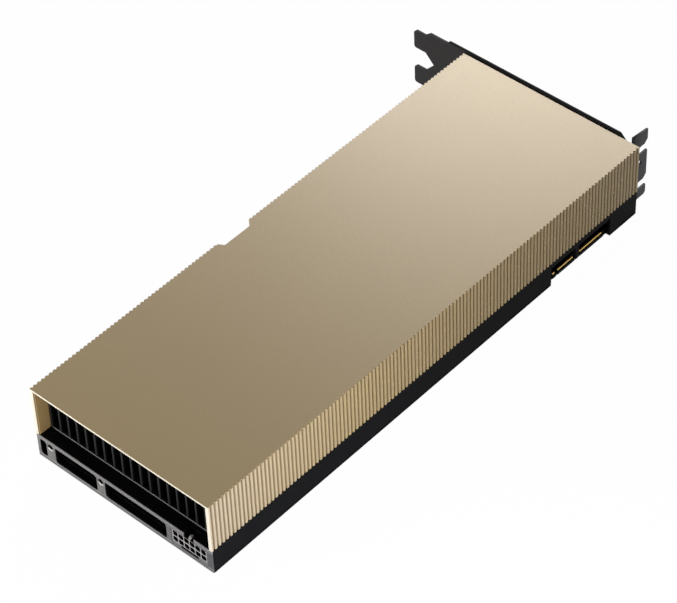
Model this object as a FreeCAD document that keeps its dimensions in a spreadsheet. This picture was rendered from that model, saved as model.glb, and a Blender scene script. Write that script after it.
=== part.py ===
"""Passive dual-slot accelerator card.

The card lies on its backplate. +X runs to the slot bracket, +Y to the slot connector,
+Z up to the shroud. The origin is the middle of the backplate's underside.
"""
import FreeCAD, Part
import math
import os
import re

import Sketcher

os.makedirs("parts", exist_ok=True)
doc = FreeCAD.newDocument("accelerator_card")

# Driving dimensions in millimetres. Distances named *_reach are measured from the bracket end of the shroud.
DIMENSIONS = {
    # Whole card
    "card_length": 267.7,
    "card_width": 98.0,
    "total_height": 38.3,
    "frame_top": 12.7,
    # Fluted shroud
    "top_sheet": 1.5,
    "wall_sheet": 1.65,
    "rib_depth": 0.55,
    "rib_pitch": 2.17,
    "groove_width": 0.5,
    "groove_slant": 0.36,
    "jog_reach": 140.1,
    "jog_length": 19.4,
    "jog_slant": 1.8,
    "jog_depth": 3.1,
    "tab_count": 3,
    "tab_reach": 78.0,
    "tab_spacing": 90.0,
    "tab_length": 8.0,
    "tab_sheet": 0.6,
    "tab_rise": 1.2,
    "tab_inset": 1.3,
    "tab_clear": 0.1,
    "post_radius": 3.5,
    "post_reach": 5.5,
    "post_inset": 7.4,
    # Backplate
    "backplate_sheet": 1.2,
    "seam_height": 0.4,
    "seam_depth": 0.6,
    "corner_round": 0.6,
    "seat_side": 5.6,
    # Circuit board
    "board_gap": 1.2,
    "board_sheet": 1.57,
    "board_clear": 0.3,
    "edge_protrusion": 13.15,
    "edge_bevel": 0.45,
    "key_reach": 57.15,
    "key_width": 1.9,
    "key_depth": 8.25,
    "short_edge": 11.65,
    "long_edge": 71.65,
    "hook_gap": 2.4,
    "hook_length": 5.0,
    "hook_drop": 4.6,
    "finger_pitch": 1.0,
    "finger_width": 0.7,
    "finger_length": 5.6,
    "finger_inset": 0.8,
    "plating": 0.08,
    # Bridge connector edge
    "recess_reach": 59.0,
    "recess_length": 40.2,
    "recess_ceiling": 10.0,
    "recess_depth": 2.2,
    "bridge_inset": 0.5,
    "bridge_reach": 57.4,
    "bridge_length": 34.6,
    "divider_reach": 40.65,
    "divider_width": 2.2,
    "notch_clear": 0.65,
    "notch_depth": 2.4,
    "bridge_pitch": 0.8,
    "bridge_finger": 0.62,
    "bridge_finger_length": 1.4,
    "bridge_finger_inset": 0.5,
    "far_row_reach": 38.4,
    "far_row_count": 19,
    "near_row_reach": 53.3,
    "near_row_count": 13,
    "end_row_reach": 56.8,
    "end_row_count": 2,
    # Black frame
    "frame_sheet": 1.5,
    "frame_wall": 1.6,
    "tail_wall": 2.5,
    "head_wall": 2.0,
    "window_round": 1.3,
    "window_floor": 2.0,
    "window_ceiling": 10.7,
    "slit_edge": 47.1,
    "slit_width": 3.7,
    "first_window_edge": 38.7,
    "first_window_width": 23.9,
    "second_window_edge": 10.4,
    "second_window_width": 34.2,
    "insert_height": 9.1,
    "outer_insert": 41.2,
    "inner_insert": 12.5,
    "insert_radius": 1.75,
    "insert_bore": 1.25,
    "insert_length": 5.0,
    "insert_boss": 2.2,
    "wall_boss_length": 8.0,
    "wall_boss_depth": 6.6,
    "boss_first": 13.85,
    "boss_spacing": 114.0,
    "boss_count": 3,
    # Heatsink
    "fin_setback": 6.4,
    "heatsink_length": 239.0,
    "base_width": 92.8,
    "base_sheet": 2.8,
    "base_rise": 0.5,
    "base_clear": 0.3,
    "fin_count": 19,
    "fin_pitch": 5.055,
    "fin_sheet": 0.9,
    "fin_foot": 1.5,
    "fin_shift": 0.45,
    "fin_head_gap": 0.3,
    # Processor package
    "package_place": 20.0,
    "package_offset": 1.0,
    "package_side": 55.0,
    "substrate_sheet": 1.6,
    "die_length": 26.0,
    "die_width": 32.0,
    "die_sheet": 0.8,
    "stack_length": 7.8,
    "stack_width": 11.9,
    "stack_gap": 0.6,
    "ring_width": 3.0,
    "ring_sheet": 0.6,
    "paste_sheet": 0.2,
    "pedestal_length": 46.0,
    "pedestal_width": 42.0,
    "pillar_spread": 66.0,
    "pillar_radius": 3.2,
    # Voltage regulator
    "phase_count": 8,
    "phase_pitch": 9.0,
    "stage_distance": 54.0,
    "stage_length": 5.0,
    "stage_width": 6.0,
    "stage_height": 0.8,
    "pad_sheet": 1.4,
    "rail_width": 7.0,
    "choke_distance": 45.0,
    "choke_length": 6.6,
    "choke_width": 7.4,
    "choke_height": 4.4,
    "can_count": 4,
    "can_pitch": 11.0,
    "can_radius": 3.1,
    "can_height": 4.6,
    "can_reach": 240.0,
    "can_offset": 8.0,
    "chip_row_reach": 31.0,
    "chip_pitch": 10.5,
    "chip_count": 6,
    "chip_length": 7.3,
    "chip_width": 4.3,
    "chip_height": 1.9,
    "controller_reach": 208.0,
    "controller_offset": -14.0,
    "controller_side": 14.0,
    "controller_height": 1.2,
    "flash_reach": 190.0,
    "flash_offset": 14.0,
    "flash_side": 5.0,
    "flash_width": 6.0,
    "flash_height": 1.0,
    "crystal_reach": 193.0,
    "crystal_offset": -14.0,
    "crystal_side": 2.5,
    "crystal_width": 3.2,
    "crystal_height": 0.8,
    "fuse_reach": 236.0,
    "fuse_offset": -36.0,
    "fuse_side": 2.7,
    "fuse_width": 6.1,
    "fuse_height": 2.5,
    # Power header
    "header_inset": 0.1,
    "header_offset": 36.2,
    "header_width": 19.4,
    "header_floor": 1.9,
    "header_height": 8.2,
    "header_depth": 14.0,
    "header_clear": 0.15,
    "cavity_pitch": 3.05,
    "cavity_count": 6,
    "cavity_side": 2.55,
    "cavity_round": 0.45,
    "cavity_depth": 7.5,
    "upper_row": 8.55,
    "lower_row": 5.3,
    "pin_side": 1.0,
    "pin_recess": 3.0,
    "pin_stagger": 0.8,
    "pin_foot": 0.6,
    "slot_width": 9.4,
    "slot_height": 1.2,
    "slot_row": 2.85,
    "sense_pitch": 2.2,
    "sense_count": 4,
    "sense_side": 0.5,
    "latch_width": 1.4,
    "latch_length": 2.4,
    "latch_height": 1.2,
    "latch_cut_width": 5.5,
    "latch_cut_length": 4.5,
    # Slot bracket
    "bracket_gap": 1.0,
    "bracket_sheet": 1.0,
    "bracket_floor": 0.5,
    "bracket_width": 38.74,
    "slot_spacing": 20.32,
    "tongue_width": 10.19,
    "tongue_row": 10.2,
    "tongue_tip": 79.1,
    "tongue_root": 72.4,
    "tongue_waist": 67.6,
    "tongue_chamfer": 1.4,
    "shoulder_place": 58.2,
    "shoulder_step": 1.3,
    "shoulder_end": 69.5,
    "bend_relief": 3.4,
    "relief_slant": 3.3,
    "flange_place": 44.2,
    "flange_depth": 11.43,
    "flange_row": 8.0,
    "flange_notch": 4.42,
    "notch_reach": 6.4,
    "flange_round": 1.0,
    "flange_taper": 1.3,
    "notch_flare": 2.0,
    "gauge_row": 21.3,
    "gauge_radius": 1.4,
    "vent_count": 13,
    "vent_pitch": 6.0,
    "vent_width": 3.6,
    "vent_height": 8.6,
    "vent_bevel": 0.9,
    "vent_row": 20.6,
    "vent_row_pitch": 11.2,
    "lug_place": 30.0,
    "lug_width": 8.0,
    "lug_floor": 5.0,
    "lug_depth": 8.0,
    # Screws
    "screw_radius": 1.25,
    "screw_head": 2.3,
    "screw_head_height": 1.0,
    "screw_clear": 0.25,
    "head_clear": 0.35,
    "hex_radius": 0.85,
    "hex_depth": 0.6,
    "head_sink": 0.1,
    "thread_depth": 4.5,
    "thread_spare": 0.5,
    # Clamp plate behind the processor
    "clamp_sheet": 1.0,
    "clamp_margin": 5.0,
    "clamp_window": 50.0,
    "rear_count": 5,
    "rear_pitch": 6.5,
    "rear_length": 3.2,
    "rear_width": 1.6,
    "rear_height": 0.8,
}

sheet = doc.addObject("Spreadsheet::Sheet", "Sizes")
for row, (alias, number) in enumerate(DIMENSIONS.items(), start=1):
    sheet.set(f"A{row}", alias)
    sheet.set(f"B{row}", str(number))
    sheet.setAlias(f"B{row}", alias)
doc.recompute()


def size(alias):
    """The value of one driving dimension."""
    return float(sheet.get(alias))


def formula(text):
    """The same expression with each dimension looked up in the sheet."""
    return re.sub(r"[a-z][a-z_]*", lambda word: "Sizes." + word.group(0), text)


# Levels and edges that several pieces share, as expressions of the driving dimensions
tail = "(-card_length / 2)"
head = "(card_length / 2)"
side = "(card_width / 2)"
board_floor = "(backplate_sheet + board_gap)"
board_top = f"({board_floor} + board_sheet)"
plate_floor = "(frame_top - frame_sheet)"
inner_side = f"({side} - frame_wall)"
board_side = f"({inner_side} - board_clear)"
board_tail = f"({tail} + tail_wall + board_clear)"
board_head = f"({head} - head_wall - board_clear)"
base_top = "(frame_top + base_rise)"
base_floor = f"({base_top} - base_sheet)"
base_tail = f"({tail} + fin_setback)"
ceiling = "(total_height - top_sheet)"
paste_floor = f"({board_top} + substrate_sheet + die_sheet)"
header_face = f"({tail} + header_inset)"
header_back = f"({header_face} + header_depth)"
header_top = "(header_floor + header_height)"
bracket_face = f"({head} + bracket_gap)"
bracket_back = f"({bracket_face} + bracket_sheet)"
recess_tail = f"({head} - recess_reach)"
recess_head = f"({recess_tail} + recess_length)"
boss_row = f"({inner_side} - wall_boss_depth / 2)"
stage_span = "(phase_count * phase_pitch)"
lug_row = f"((lug_floor + {plate_floor}) / 2)"
edge_head = f"({head} - key_reach + key_width / 2 + short_edge)"
edge_tail = f"({head} - key_reach - key_width / 2 - long_edge)"
hook_head = f"({edge_tail} - hook_gap)"
hook_tail = f"({hook_head} - hook_length)"
bridge_tail = f"({head} - bridge_reach)"
bridge_head = f"({bridge_tail} + bridge_length)"
tab_inner = f"({side} - tab_inset - tab_sheet)"
jog_head = f"({head} - jog_reach)"
jog_tail = f"({jog_head} - jog_length)"
jog_floor = f"({side} - jog_depth)"
fin_tip = f"({ceiling} - fin_head_gap)"
bridge_edge = f"-({side} - bridge_inset)"


def bind(item, cells):
    """Tie properties of an object to expressions of the sheet."""
    for name, text in cells.items():
        item.setExpression(name, formula(text))


def place(item, at):
    """Tie an object's position to three expressions."""
    bind(item, {f"Placement.Base.{axis}": text for axis, text in zip("xyz", at)})


def box(name, low, span):
    """A block from its low corner and its three edge lengths."""
    block = doc.addObject("Part::Box", name)
    bind(block, dict(zip(("Length", "Width", "Height"), span)))
    place(block, low)
    return block


def centred_box(name, middle, floor, span):
    """A block standing on a level, centred on a point seen from above."""
    low = [f"{middle[0]} - ({span[0]}) / 2", f"{middle[1]} - ({span[1]}) / 2", floor]
    return box(name, low, span)


TURNS = {
    "up": FreeCAD.Rotation(),
    "out": FreeCAD.Rotation(FreeCAD.Vector(0, 1, 0), 90),
    "in": FreeCAD.Rotation(FreeCAD.Vector(0, 1, 0), -90),
}


def rod(name, base, radius, length, turn="up"):
    """A cylinder standing on a point: upright, or lying towards the bracket or away from it."""
    cylinder = doc.addObject("Part::Cylinder", name)
    cylinder.Placement.Rotation = TURNS[turn]
    bind(cylinder, {"Radius": radius, "Height": length})
    place(cylinder, base)
    return cylinder


def shifted(point, axis, distance):
    """The same point moved along one axis by an expression."""
    moved = list(point)
    moved[axis] = f"{point[axis]} + ({distance})"
    return moved


def screw(name, base, length, turn="up"):
    """A socket screw: its head starts at the base point and its shank follows."""
    axis, height = (2, "screw_head_height") if turn == "up" else (0, "-screw_head_height")
    shoulder = shifted(base, axis, height)
    head_part = rod(name + "_head", base, "screw_head", "screw_head_height", turn)
    shank = rod(name + "_shank", shoulder, "screw_radius", length, turn)
    socket = doc.addObject("Part::Prism", name + "_socket")
    socket.Polygon = 6
    socket.Placement.Rotation = TURNS[turn]
    bind(socket, {"Circumradius": "hex_radius", "Height": "hex_depth"})
    place(socket, base)
    solid = fuse(name + "_blank", [head_part, shank])
    return cut(name, solid, [socket])


def fuse(name, pieces):
    """One solid out of several that meet."""
    joined = doc.addObject("Part::MultiFuse", name)
    joined.Shapes = pieces
    joined.Refine = True
    return joined


def cut(name, base, tools):
    """A solid with other shapes taken out of it."""
    tool = tools[0] if len(tools) == 1 else group(name + "_tools", tools)
    result = doc.addObject("Part::Cut", name)
    result.Base = base
    result.Tool = tool
    return result


def group(name, pieces):
    """Like pieces kept as separate solids of one sub-part."""
    compound = doc.addObject("Part::Compound", name)
    compound.Links = pieces
    return compound


def origin_item(body, role):
    """One of a body's own origin planes or axes."""
    return next(item for item in body.Origin.OriginFeatures if item.Role == role)


def sketch_on(body, name, role, level=""):
    """A sketch on an origin plane of the body, raised by an expression where one is given."""
    sketch = body.newObject("Sketcher::SketchObject", name)
    sketch.AttachmentSupport = [(origin_item(body, role), "")]
    sketch.MapMode = "FlatFace"
    if level:
        sketch.setExpression("AttachmentOffset.Base.z", formula(level))
    return sketch


def fix(sketch, kind, part, end, text):
    """A distance from the sketch origin to a point, tied to the sheet."""
    index = sketch.addConstraint(Sketcher.Constraint(kind, -1, 1, part, end, 1.0))
    sketch.setExpression(f"Constraints[{index}]", formula(text))


def draw_polygon(sketch, points):
    """A closed outline whose corners are all tied to the sheet."""
    count = len(points)
    first = sketch.GeometryCount
    turns = [2 * math.pi * step / count for step in range(count + 1)]
    ring = [FreeCAD.Vector(30 * math.cos(turn), 30 * math.sin(turn), 0) for turn in turns]
    for start, end in zip(ring, ring[1:]):
        sketch.addGeometry(Part.LineSegment(start, end), False)
    for step in range(count):
        follows = first + (step + 1) % count
        sketch.addConstraint(Sketcher.Constraint("Coincident", first + step, 2, follows, 1))
    for step, (across, up) in enumerate(points):
        fix(sketch, "DistanceX", first + step, 1, across)
        fix(sketch, "DistanceY", first + step, 1, up)


def draw_rectangle(sketch, low, high):
    """An upright rectangle between two corners."""
    draw_polygon(sketch, [low, (high[0], low[1]), high, (low[0], high[1])])


def draw_circle(sketch, centre, radius):
    """A circle with its centre and radius tied to the sheet."""
    part = sketch.addGeometry(Part.Circle(FreeCAD.Vector(1, 1, 0), FreeCAD.Vector(0, 0, 1), 1), False)
    fix(sketch, "DistanceX", part, 3, centre[0])
    fix(sketch, "DistanceY", part, 3, centre[1])
    index = sketch.addConstraint(Sketcher.Constraint("Radius", part, 1.0))
    sketch.setExpression(f"Constraints[{index}]", formula(radius))


def pad(body, sketch, length, backwards=False):
    """Material added along the sketch's normal, or against it."""
    feature = body.newObject("PartDesign::Pad", sketch.Name + "_pad")
    feature.Profile = sketch
    feature.Reversed = backwards
    feature.setExpression("Length", formula(length))
    return feature


def pocket(body, sketch, depth, forwards=False):
    """Material taken away against the sketch's normal, or along it."""
    doc.recompute()
    before = body.Shape.Volume
    feature = body.newObject("PartDesign::Pocket", sketch.Name + "_pocket")
    feature.Profile = sketch
    feature.Reversed = forwards
    feature.setExpression("Length", formula(depth))
    doc.recompute()
    if body.Shape.Volume >= before - 1e-6:
        raise ValueError(f"{feature.Name} takes nothing away")
    return feature


def repeat(body, feature, role, length, occurrences):
    """A row of copies of a feature along one of the body's axes."""
    pattern = body.newObject("PartDesign::LinearPattern", feature.Name + "_row")
    pattern.Originals = [feature]
    pattern.Direction = (origin_item(body, role), [""])
    pattern.setExpression("Length", formula(length))
    pattern.setExpression("Occurrences", formula(occurrences))
    body.Tip = pattern
    return pattern


def mirror(body, features, role):
    """The same features on the other side of one of the body's planes."""
    other = body.newObject("PartDesign::Mirrored", features[-1].Name + "_mirrored")
    other.Originals = features
    other.MirrorPlane = (origin_item(body, role), [""])
    body.Tip = other
    return other


def dress(body, kind, name, amount, chosen):
    """A fillet or chamfer on every straight edge that the test picks out."""
    doc.recompute()
    below = body.Tip
    names = [f"Edge{k}" for k, edge in enumerate(below.Shape.Edges, start=1) if chosen(edge)]
    feature = body.newObject("PartDesign::" + kind, name)
    feature.Base = (below, names)
    feature.setExpression({"Fillet": "Radius", "Chamfer": "Size"}[kind], formula(amount))
    body.Tip = feature
    doc.recompute()
    return feature


def runs_along(edge, axis):
    """True for a straight edge parallel to an axis, numbered 0, 1 or 2."""
    start, end = edge.Vertexes[0].Point, edge.Vertexes[-1].Point
    moved = [abs(end[k] - start[k]) for k in range(3)]
    others = [moved[k] for k in range(3) if k != axis]
    return edge.Curve.TypeId == "Part::GeomLine" and moved[axis] > 1e-6 and max(others) < 1e-6


def new_body(label, several=False):
    """A body for one sub-part, which may hold several solids."""
    body = doc.addObject("PartDesign::Body", label)
    body.AllowCompound = several
    return body


def in_both_sides(build):
    """The pieces that a function makes for the far side (sign "") and the near side (sign "-")."""
    return [piece for number, sign in enumerate(("", "-")) for piece in build(number, sign)]


def ordered(sign, inner, outer):
    """The lower of two distances from the centre line, on the side that the sign gives."""
    return f"-({outer})" if sign else inner


def tab_low(step):
    """The tail end of one locating tab."""
    return f"{head} - tab_reach - {step} * tab_spacing"


def fluted_plan():
    """The shroud's outline seen from above: a row of grooves leaves a row of ribs along each long side."""
    half_length = size("card_length") / 2
    crest = size("card_width") / 2
    root = crest - size("rib_depth")
    pitch = size("rib_pitch")
    flat = size("groove_width") / 2
    brim = flat + size("groove_slant")
    grooves = int(2 * half_length / pitch)
    profile = [(-brim, crest), (-flat, root), (flat, root), (brim, crest)]
    row = [(-half_length, crest)]
    for number in range(grooves):
        middle = (number - (grooves - 1) / 2) * pitch
        row += [(middle + along, out) for along, out in profile]
    row.append((half_length, crest))
    ring = row + [(along, -out) for along, out in reversed(row)]
    corners = [FreeCAD.Vector(along, across, size("frame_top")) for along, across in ring]
    plan = doc.addObject("Part::Feature", "fluted_plan")
    plan.Shape = Part.Face(Part.makePolygon(corners + corners[:1]))
    return plan


def extrusion(name, base, height):
    """A flat outline raised into a solid."""
    solid = doc.addObject("Part::Extrusion", name)
    solid.Base = base
    solid.DirMode = "Custom"
    solid.Dir = FreeCAD.Vector(0, 0, 1)
    solid.Solid = True
    bind(solid, {"LengthFwd": height})
    return solid


def make_shroud():
    """Fluted U-shaped cover: a thin top sheet and two ribbed walls, open at both ends."""
    wall = f"({side} - rib_depth - wall_sheet)"
    post = f"({side} - post_inset)"
    depth = f"{ceiling} - frame_top"

    def posts(number, sign):
        """A screw post by the bracket end and the web that ties it to the wall."""
        foot = [f"{head} - post_reach", f"{sign}{post}", "frame_top"]
        web_low = [f"{head} - post_reach - wall_sheet / 2", ordered(sign, post, wall), "frame_top"]
        return [rod(f"post_{number}", foot, "post_radius", depth),
                box(f"post_web_{number}", web_low, ["wall_sheet", f"{wall} - {post}", depth])]

    def bores(number, sign):
        """The threaded hole up each post."""
        foot = [f"{head} - post_reach", f"{sign}{post}", "frame_top"]
        return [rod(f"post_bore_{number}", foot, "screw_radius", "thread_depth")]

    def slots(number, sign):
        """The slots in the wall's lower edge that the frame's locating tabs enter."""
        inner, outer = f"{tab_inner} - tab_clear", f"{tab_inner} + tab_sheet + tab_clear"
        return [box(f"tab_slot_{number}_{step}",
                    [f"{tab_low(step)} - tab_clear", ordered(sign, inner, outer), "frame_top"],
                    ["tab_length + 2 * tab_clear", "tab_sheet + 2 * tab_clear", "tab_rise + tab_clear"])
                for step in range(int(size("tab_count")))]

    channel = box("shroud_channel", [tail, f"-{wall}", "frame_top"], ["card_length", f"2 * {wall}", depth])
    jog_block = box("jog_block", [jog_tail, f"{jog_floor} - wall_sheet", "frame_top"],
                    ["jog_length", "jog_depth + wall_sheet - rib_depth", depth])
    hollow = cut("shroud_hollow", channel, [jog_block] + in_both_sides(posts))
    jog_plan = doc.addObject("Sketcher::SketchObject", "jog_plan")
    bind(jog_plan, {"Placement.Base.z": "frame_top"})
    draw_polygon(jog_plan, [(jog_tail, side), (f"{jog_tail} + jog_slant", jog_floor),
                            (f"{jog_head} - jog_slant", jog_floor), (jog_head, side)])
    jog = extrusion("jog", jog_plan, "total_height - frame_top")
    block = extrusion("shroud_block", fluted_plan(), "total_height - frame_top")
    return cut("shroud", block, [hollow, jog] + in_both_sides(bores) + in_both_sides(slots))


def boss_places():
    """The stations of the backplate screws along each side, from the bracket end."""
    return [f"({head} - boss_first - {step} * boss_spacing)" for step in range(int(size("boss_count")))]


def make_frame():
    """Cast frame: a top plate with a deep rim, opened for the heatsink, header, bridge and slot edge."""
    body = new_body("mid_frame")
    outline = sketch_on(body, "frame_outline", "XY_Plane", "backplate_sheet")
    draw_rectangle(outline, (tail, f"-{side}"), (head, side))
    body.Tip = pad(body, outline, "frame_top - backplate_sheet")
    dress(body, "Fillet", "frame_corners", "corner_round", lambda edge: runs_along(edge, 2))
    hollow = sketch_on(body, "frame_hollow", "XY_Plane", "backplate_sheet")
    draw_rectangle(hollow, (f"{tail} + tail_wall", f"-{inner_side}"), (f"{head} - head_wall", inner_side))
    pocket(body, hollow, f"{plate_floor} - backplate_sheet", forwards=True)

    # Wall bosses for the backplate screws, level with the heatsink's underside
    for number, place_along in enumerate(boss_places()):
        boss = sketch_on(body, f"wall_boss_{number}", "XY_Plane", board_top)
        low = f"{place_along} - wall_boss_length / 2"
        high = f"{place_along} + wall_boss_length / 2"
        draw_rectangle(boss, (low, f"{inner_side} - wall_boss_depth"),
                       (high, f"{inner_side} + frame_wall / 2"))
        feature = pad(body, boss, f"{base_floor} - {board_top}")
        mirror(body, [feature], "XZ_Plane")
        hole = sketch_on(body, f"boss_hole_{number}", "XY_Plane", board_top)
        draw_circle(hole, (place_along, boss_row), "screw_radius")
        drilled = pocket(body, hole, "thread_depth", forwards=True)
        mirror(body, [drilled], "XZ_Plane")

    # Opening for the heatsink, then the windows of the tail wall
    opening = sketch_on(body, "heatsink_opening", "XY_Plane", "frame_top")
    draw_rectangle(opening, (f"{base_tail} - base_clear", "-(base_width / 2 + base_clear)"),
                   (f"{base_tail} + heatsink_length + base_clear", "base_width / 2 + base_clear"))
    pocket(body, opening, "frame_sheet")
    windows = {
        "slit": ("slit_edge", "slit_width"),
        "first_window": ("first_window_edge", "first_window_width"),
        "second_window": ("second_window_edge", "second_window_width"),
    }
    for name, (edge, width) in windows.items():
        window = sketch_on(body, name, "YZ_Plane", tail)
        draw_rectangle(window, (f"{edge} - {width}", "window_floor"), (edge, "window_ceiling"))
        pocket(body, window, "tail_wall", forwards=True)
    wall_back = -size("card_length") / 2 + size("tail_wall") + 1e-3
    sill = size("window_floor") - 1e-3

    def window_corner(edge):
        """The short edges through the tail wall at the corners of the windows."""
        through = runs_along(edge, 0) and edge.Length > size("tail_wall") - 1e-3
        return through and edge.BoundBox.XMax < wall_back and edge.BoundBox.ZMin > sill

    dress(body, "Fillet", "window_corners", "window_round", window_corner)

    # Bosses and bores for the two threaded inserts of a tail extender
    for number, row in enumerate(("outer_insert", "inner_insert")):
        boss = sketch_on(body, f"insert_boss_{number}", "YZ_Plane", f"{tail} + tail_wall / 2")
        draw_rectangle(boss, (f"{row} - insert_boss", "insert_height - insert_boss"),
                       (f"{row} + insert_boss", plate_floor))
        pad(body, boss, "insert_length - tail_wall / 2")
        bore = sketch_on(body, f"insert_bore_{number}", "YZ_Plane", tail)
        draw_circle(bore, (row, "insert_height"), "insert_radius")
        pocket(body, bore, "insert_length", forwards=True)

    # Opening for the power header and the cut above it for the plug's latch
    header = sketch_on(body, "header_opening", "YZ_Plane", tail)
    half_opening = "(header_width / 2 + header_clear)"
    draw_rectangle(header, (f"-header_offset - {half_opening}", "header_floor - header_clear"),
                   (f"-header_offset + {half_opening}", f"{header_top} + header_clear"))
    pocket(body, header, "tail_wall", forwards=True)
    latch = sketch_on(body, "latch_cut", "XY_Plane", "frame_top")
    draw_rectangle(latch, (tail, "-(header_offset + latch_cut_width / 2)"),
                   (f"{tail} + latch_cut_length", "-(header_offset - latch_cut_width / 2)"))
    pocket(body, latch, f"frame_top - {header_top}")

    # Open recess over the bridge contacts
    recess = sketch_on(body, "bridge_recess", "XY_Plane", "backplate_sheet")
    draw_rectangle(recess, (recess_tail, f"-{side}"), (recess_head, f"-({side} - recess_depth)"))
    pocket(body, recess, "recess_ceiling - backplate_sheet", forwards=True)

    # Slot in the far wall for the board's slot connector
    slot = sketch_on(body, "edge_slot", "XY_Plane", "backplate_sheet")
    draw_rectangle(slot, (f"{hook_tail} - board_clear", inner_side), (f"{edge_head} + board_clear", side))
    pocket(body, slot, f"{board_top} + board_clear - backplate_sheet", forwards=True)

    # Lugs that the slot bracket is screwed to
    for number, sign in enumerate(("", "-")):
        lug = sketch_on(body, f"bracket_lug_{number}", "YZ_Plane", f"{head} - lug_depth")
        draw_rectangle(lug, (f"{sign}lug_place - lug_width / 2", "lug_floor"),
                       (f"{sign}lug_place + lug_width / 2", plate_floor))
        pad(body, lug, "lug_depth + bracket_gap")
        hole = sketch_on(body, f"lug_hole_{number}", "YZ_Plane", bracket_face)
        draw_circle(hole, (f"{sign}lug_place", lug_row), "screw_radius")
        pocket(body, hole, "thread_depth")
        screw_hole = sketch_on(body, f"shroud_screw_hole_{number}", "XY_Plane", "frame_top")
        draw_circle(screw_hole, (f"{head} - post_reach", f"{sign}({side} - post_inset)"),
                    "screw_radius + screw_clear")
        pocket(body, screw_hole, "frame_sheet")

    # Tabs that locate the shroud's walls
    for step in range(int(size("tab_count"))):
        tab = sketch_on(body, f"locating_tab_{step}", "XY_Plane", "frame_top")
        draw_rectangle(tab, (tab_low(step), tab_inner),
                       (f"{tab_low(step)} + tab_length", f"{tab_inner} + tab_sheet"))
        feature = pad(body, tab, "tab_rise")
        mirror(body, [feature], "XZ_Plane")
    return body


def make_divider():
    """Moulded post under the frame's rim, between the two long rows of bridge contacts."""
    low = [f"{head} - divider_reach - divider_width / 2", f"-({side} - bridge_inset)", board_floor]
    return box("bridge_divider", low,
               ["divider_width", "recess_depth - bridge_inset", f"recess_ceiling - {board_floor}"])


def plate_corners(inset):
    """The backplate's outline, notched at the bridge recess and drawn inwards by an inset."""
    near, notch = f"-({side} - {inset})", f"-({side} - recess_depth - {inset})"
    notch_tail, notch_head = f"{recess_tail} - {inset}", f"{recess_head} + {inset}"
    low, high = f"{tail} + {inset}", f"{head} - {inset}"
    return [(low, near), (notch_tail, near), (notch_tail, notch), (notch_head, notch),
            (notch_head, near), (high, near), (high, f"{side} - {inset}"), (low, f"{side} - {inset}")]


def make_backplate():
    """Flat plate with a stepped rim that leaves a seam, raised screw seats and screwdriver holes."""
    body = new_body("backplate")
    outline = sketch_on(body, "backplate_outline", "XY_Plane")
    draw_polygon(outline, plate_corners("0"))
    body.Tip = pad(body, outline, "backplate_sheet - seam_height")
    outer = size("card_length") / 2 - 1e-3
    dress(body, "Fillet", "backplate_corners", "corner_round",
          lambda edge: runs_along(edge, 2) and abs(edge.BoundBox.Center.x) > outer)
    step = sketch_on(body, "backplate_step", "XY_Plane", "backplate_sheet - seam_height")
    draw_polygon(step, plate_corners("seam_depth"))
    pad(body, step, "seam_height")
    for number, place_along in enumerate(boss_places()):
        seat = sketch_on(body, f"screw_seat_{number}", "XY_Plane", "backplate_sheet")
        draw_rectangle(seat, (f"{place_along} - seat_side / 2", f"{boss_row} - seat_side / 2"),
                       (f"{place_along} + seat_side / 2", f"{boss_row} + seat_side / 2"))
        feature = pad(body, seat, "board_gap")
        mirror(body, [feature], "XZ_Plane")
        sink = sketch_on(body, f"screw_sink_{number}", "XY_Plane")
        draw_circle(sink, (place_along, boss_row), "screw_head + head_clear")
        feature = pocket(body, sink, "head_sink + screw_head_height", forwards=True)
        mirror(body, [feature], "XZ_Plane")
        hole = sketch_on(body, f"screw_hole_{number}", "XY_Plane")
        draw_circle(hole, (place_along, boss_row), "screw_radius + screw_clear")
        feature = pocket(body, hole, board_floor, forwards=True)
        mirror(body, [feature], "XZ_Plane")
    for number, (along, across) in enumerate(pillar_places()):
        access = sketch_on(body, f"screw_access_{number}", "XY_Plane")
        draw_circle(access, (along, across), "screw_head + head_clear")
        pocket(body, access, "backplate_sheet", forwards=True)
    return body


def pillar_places():
    """The four heatsink screws around the processor."""
    return [(f"(package_place {along} pillar_spread / 2)", f"(package_offset {across} pillar_spread / 2)")
            for along in "-+" for across in "-+"]


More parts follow.
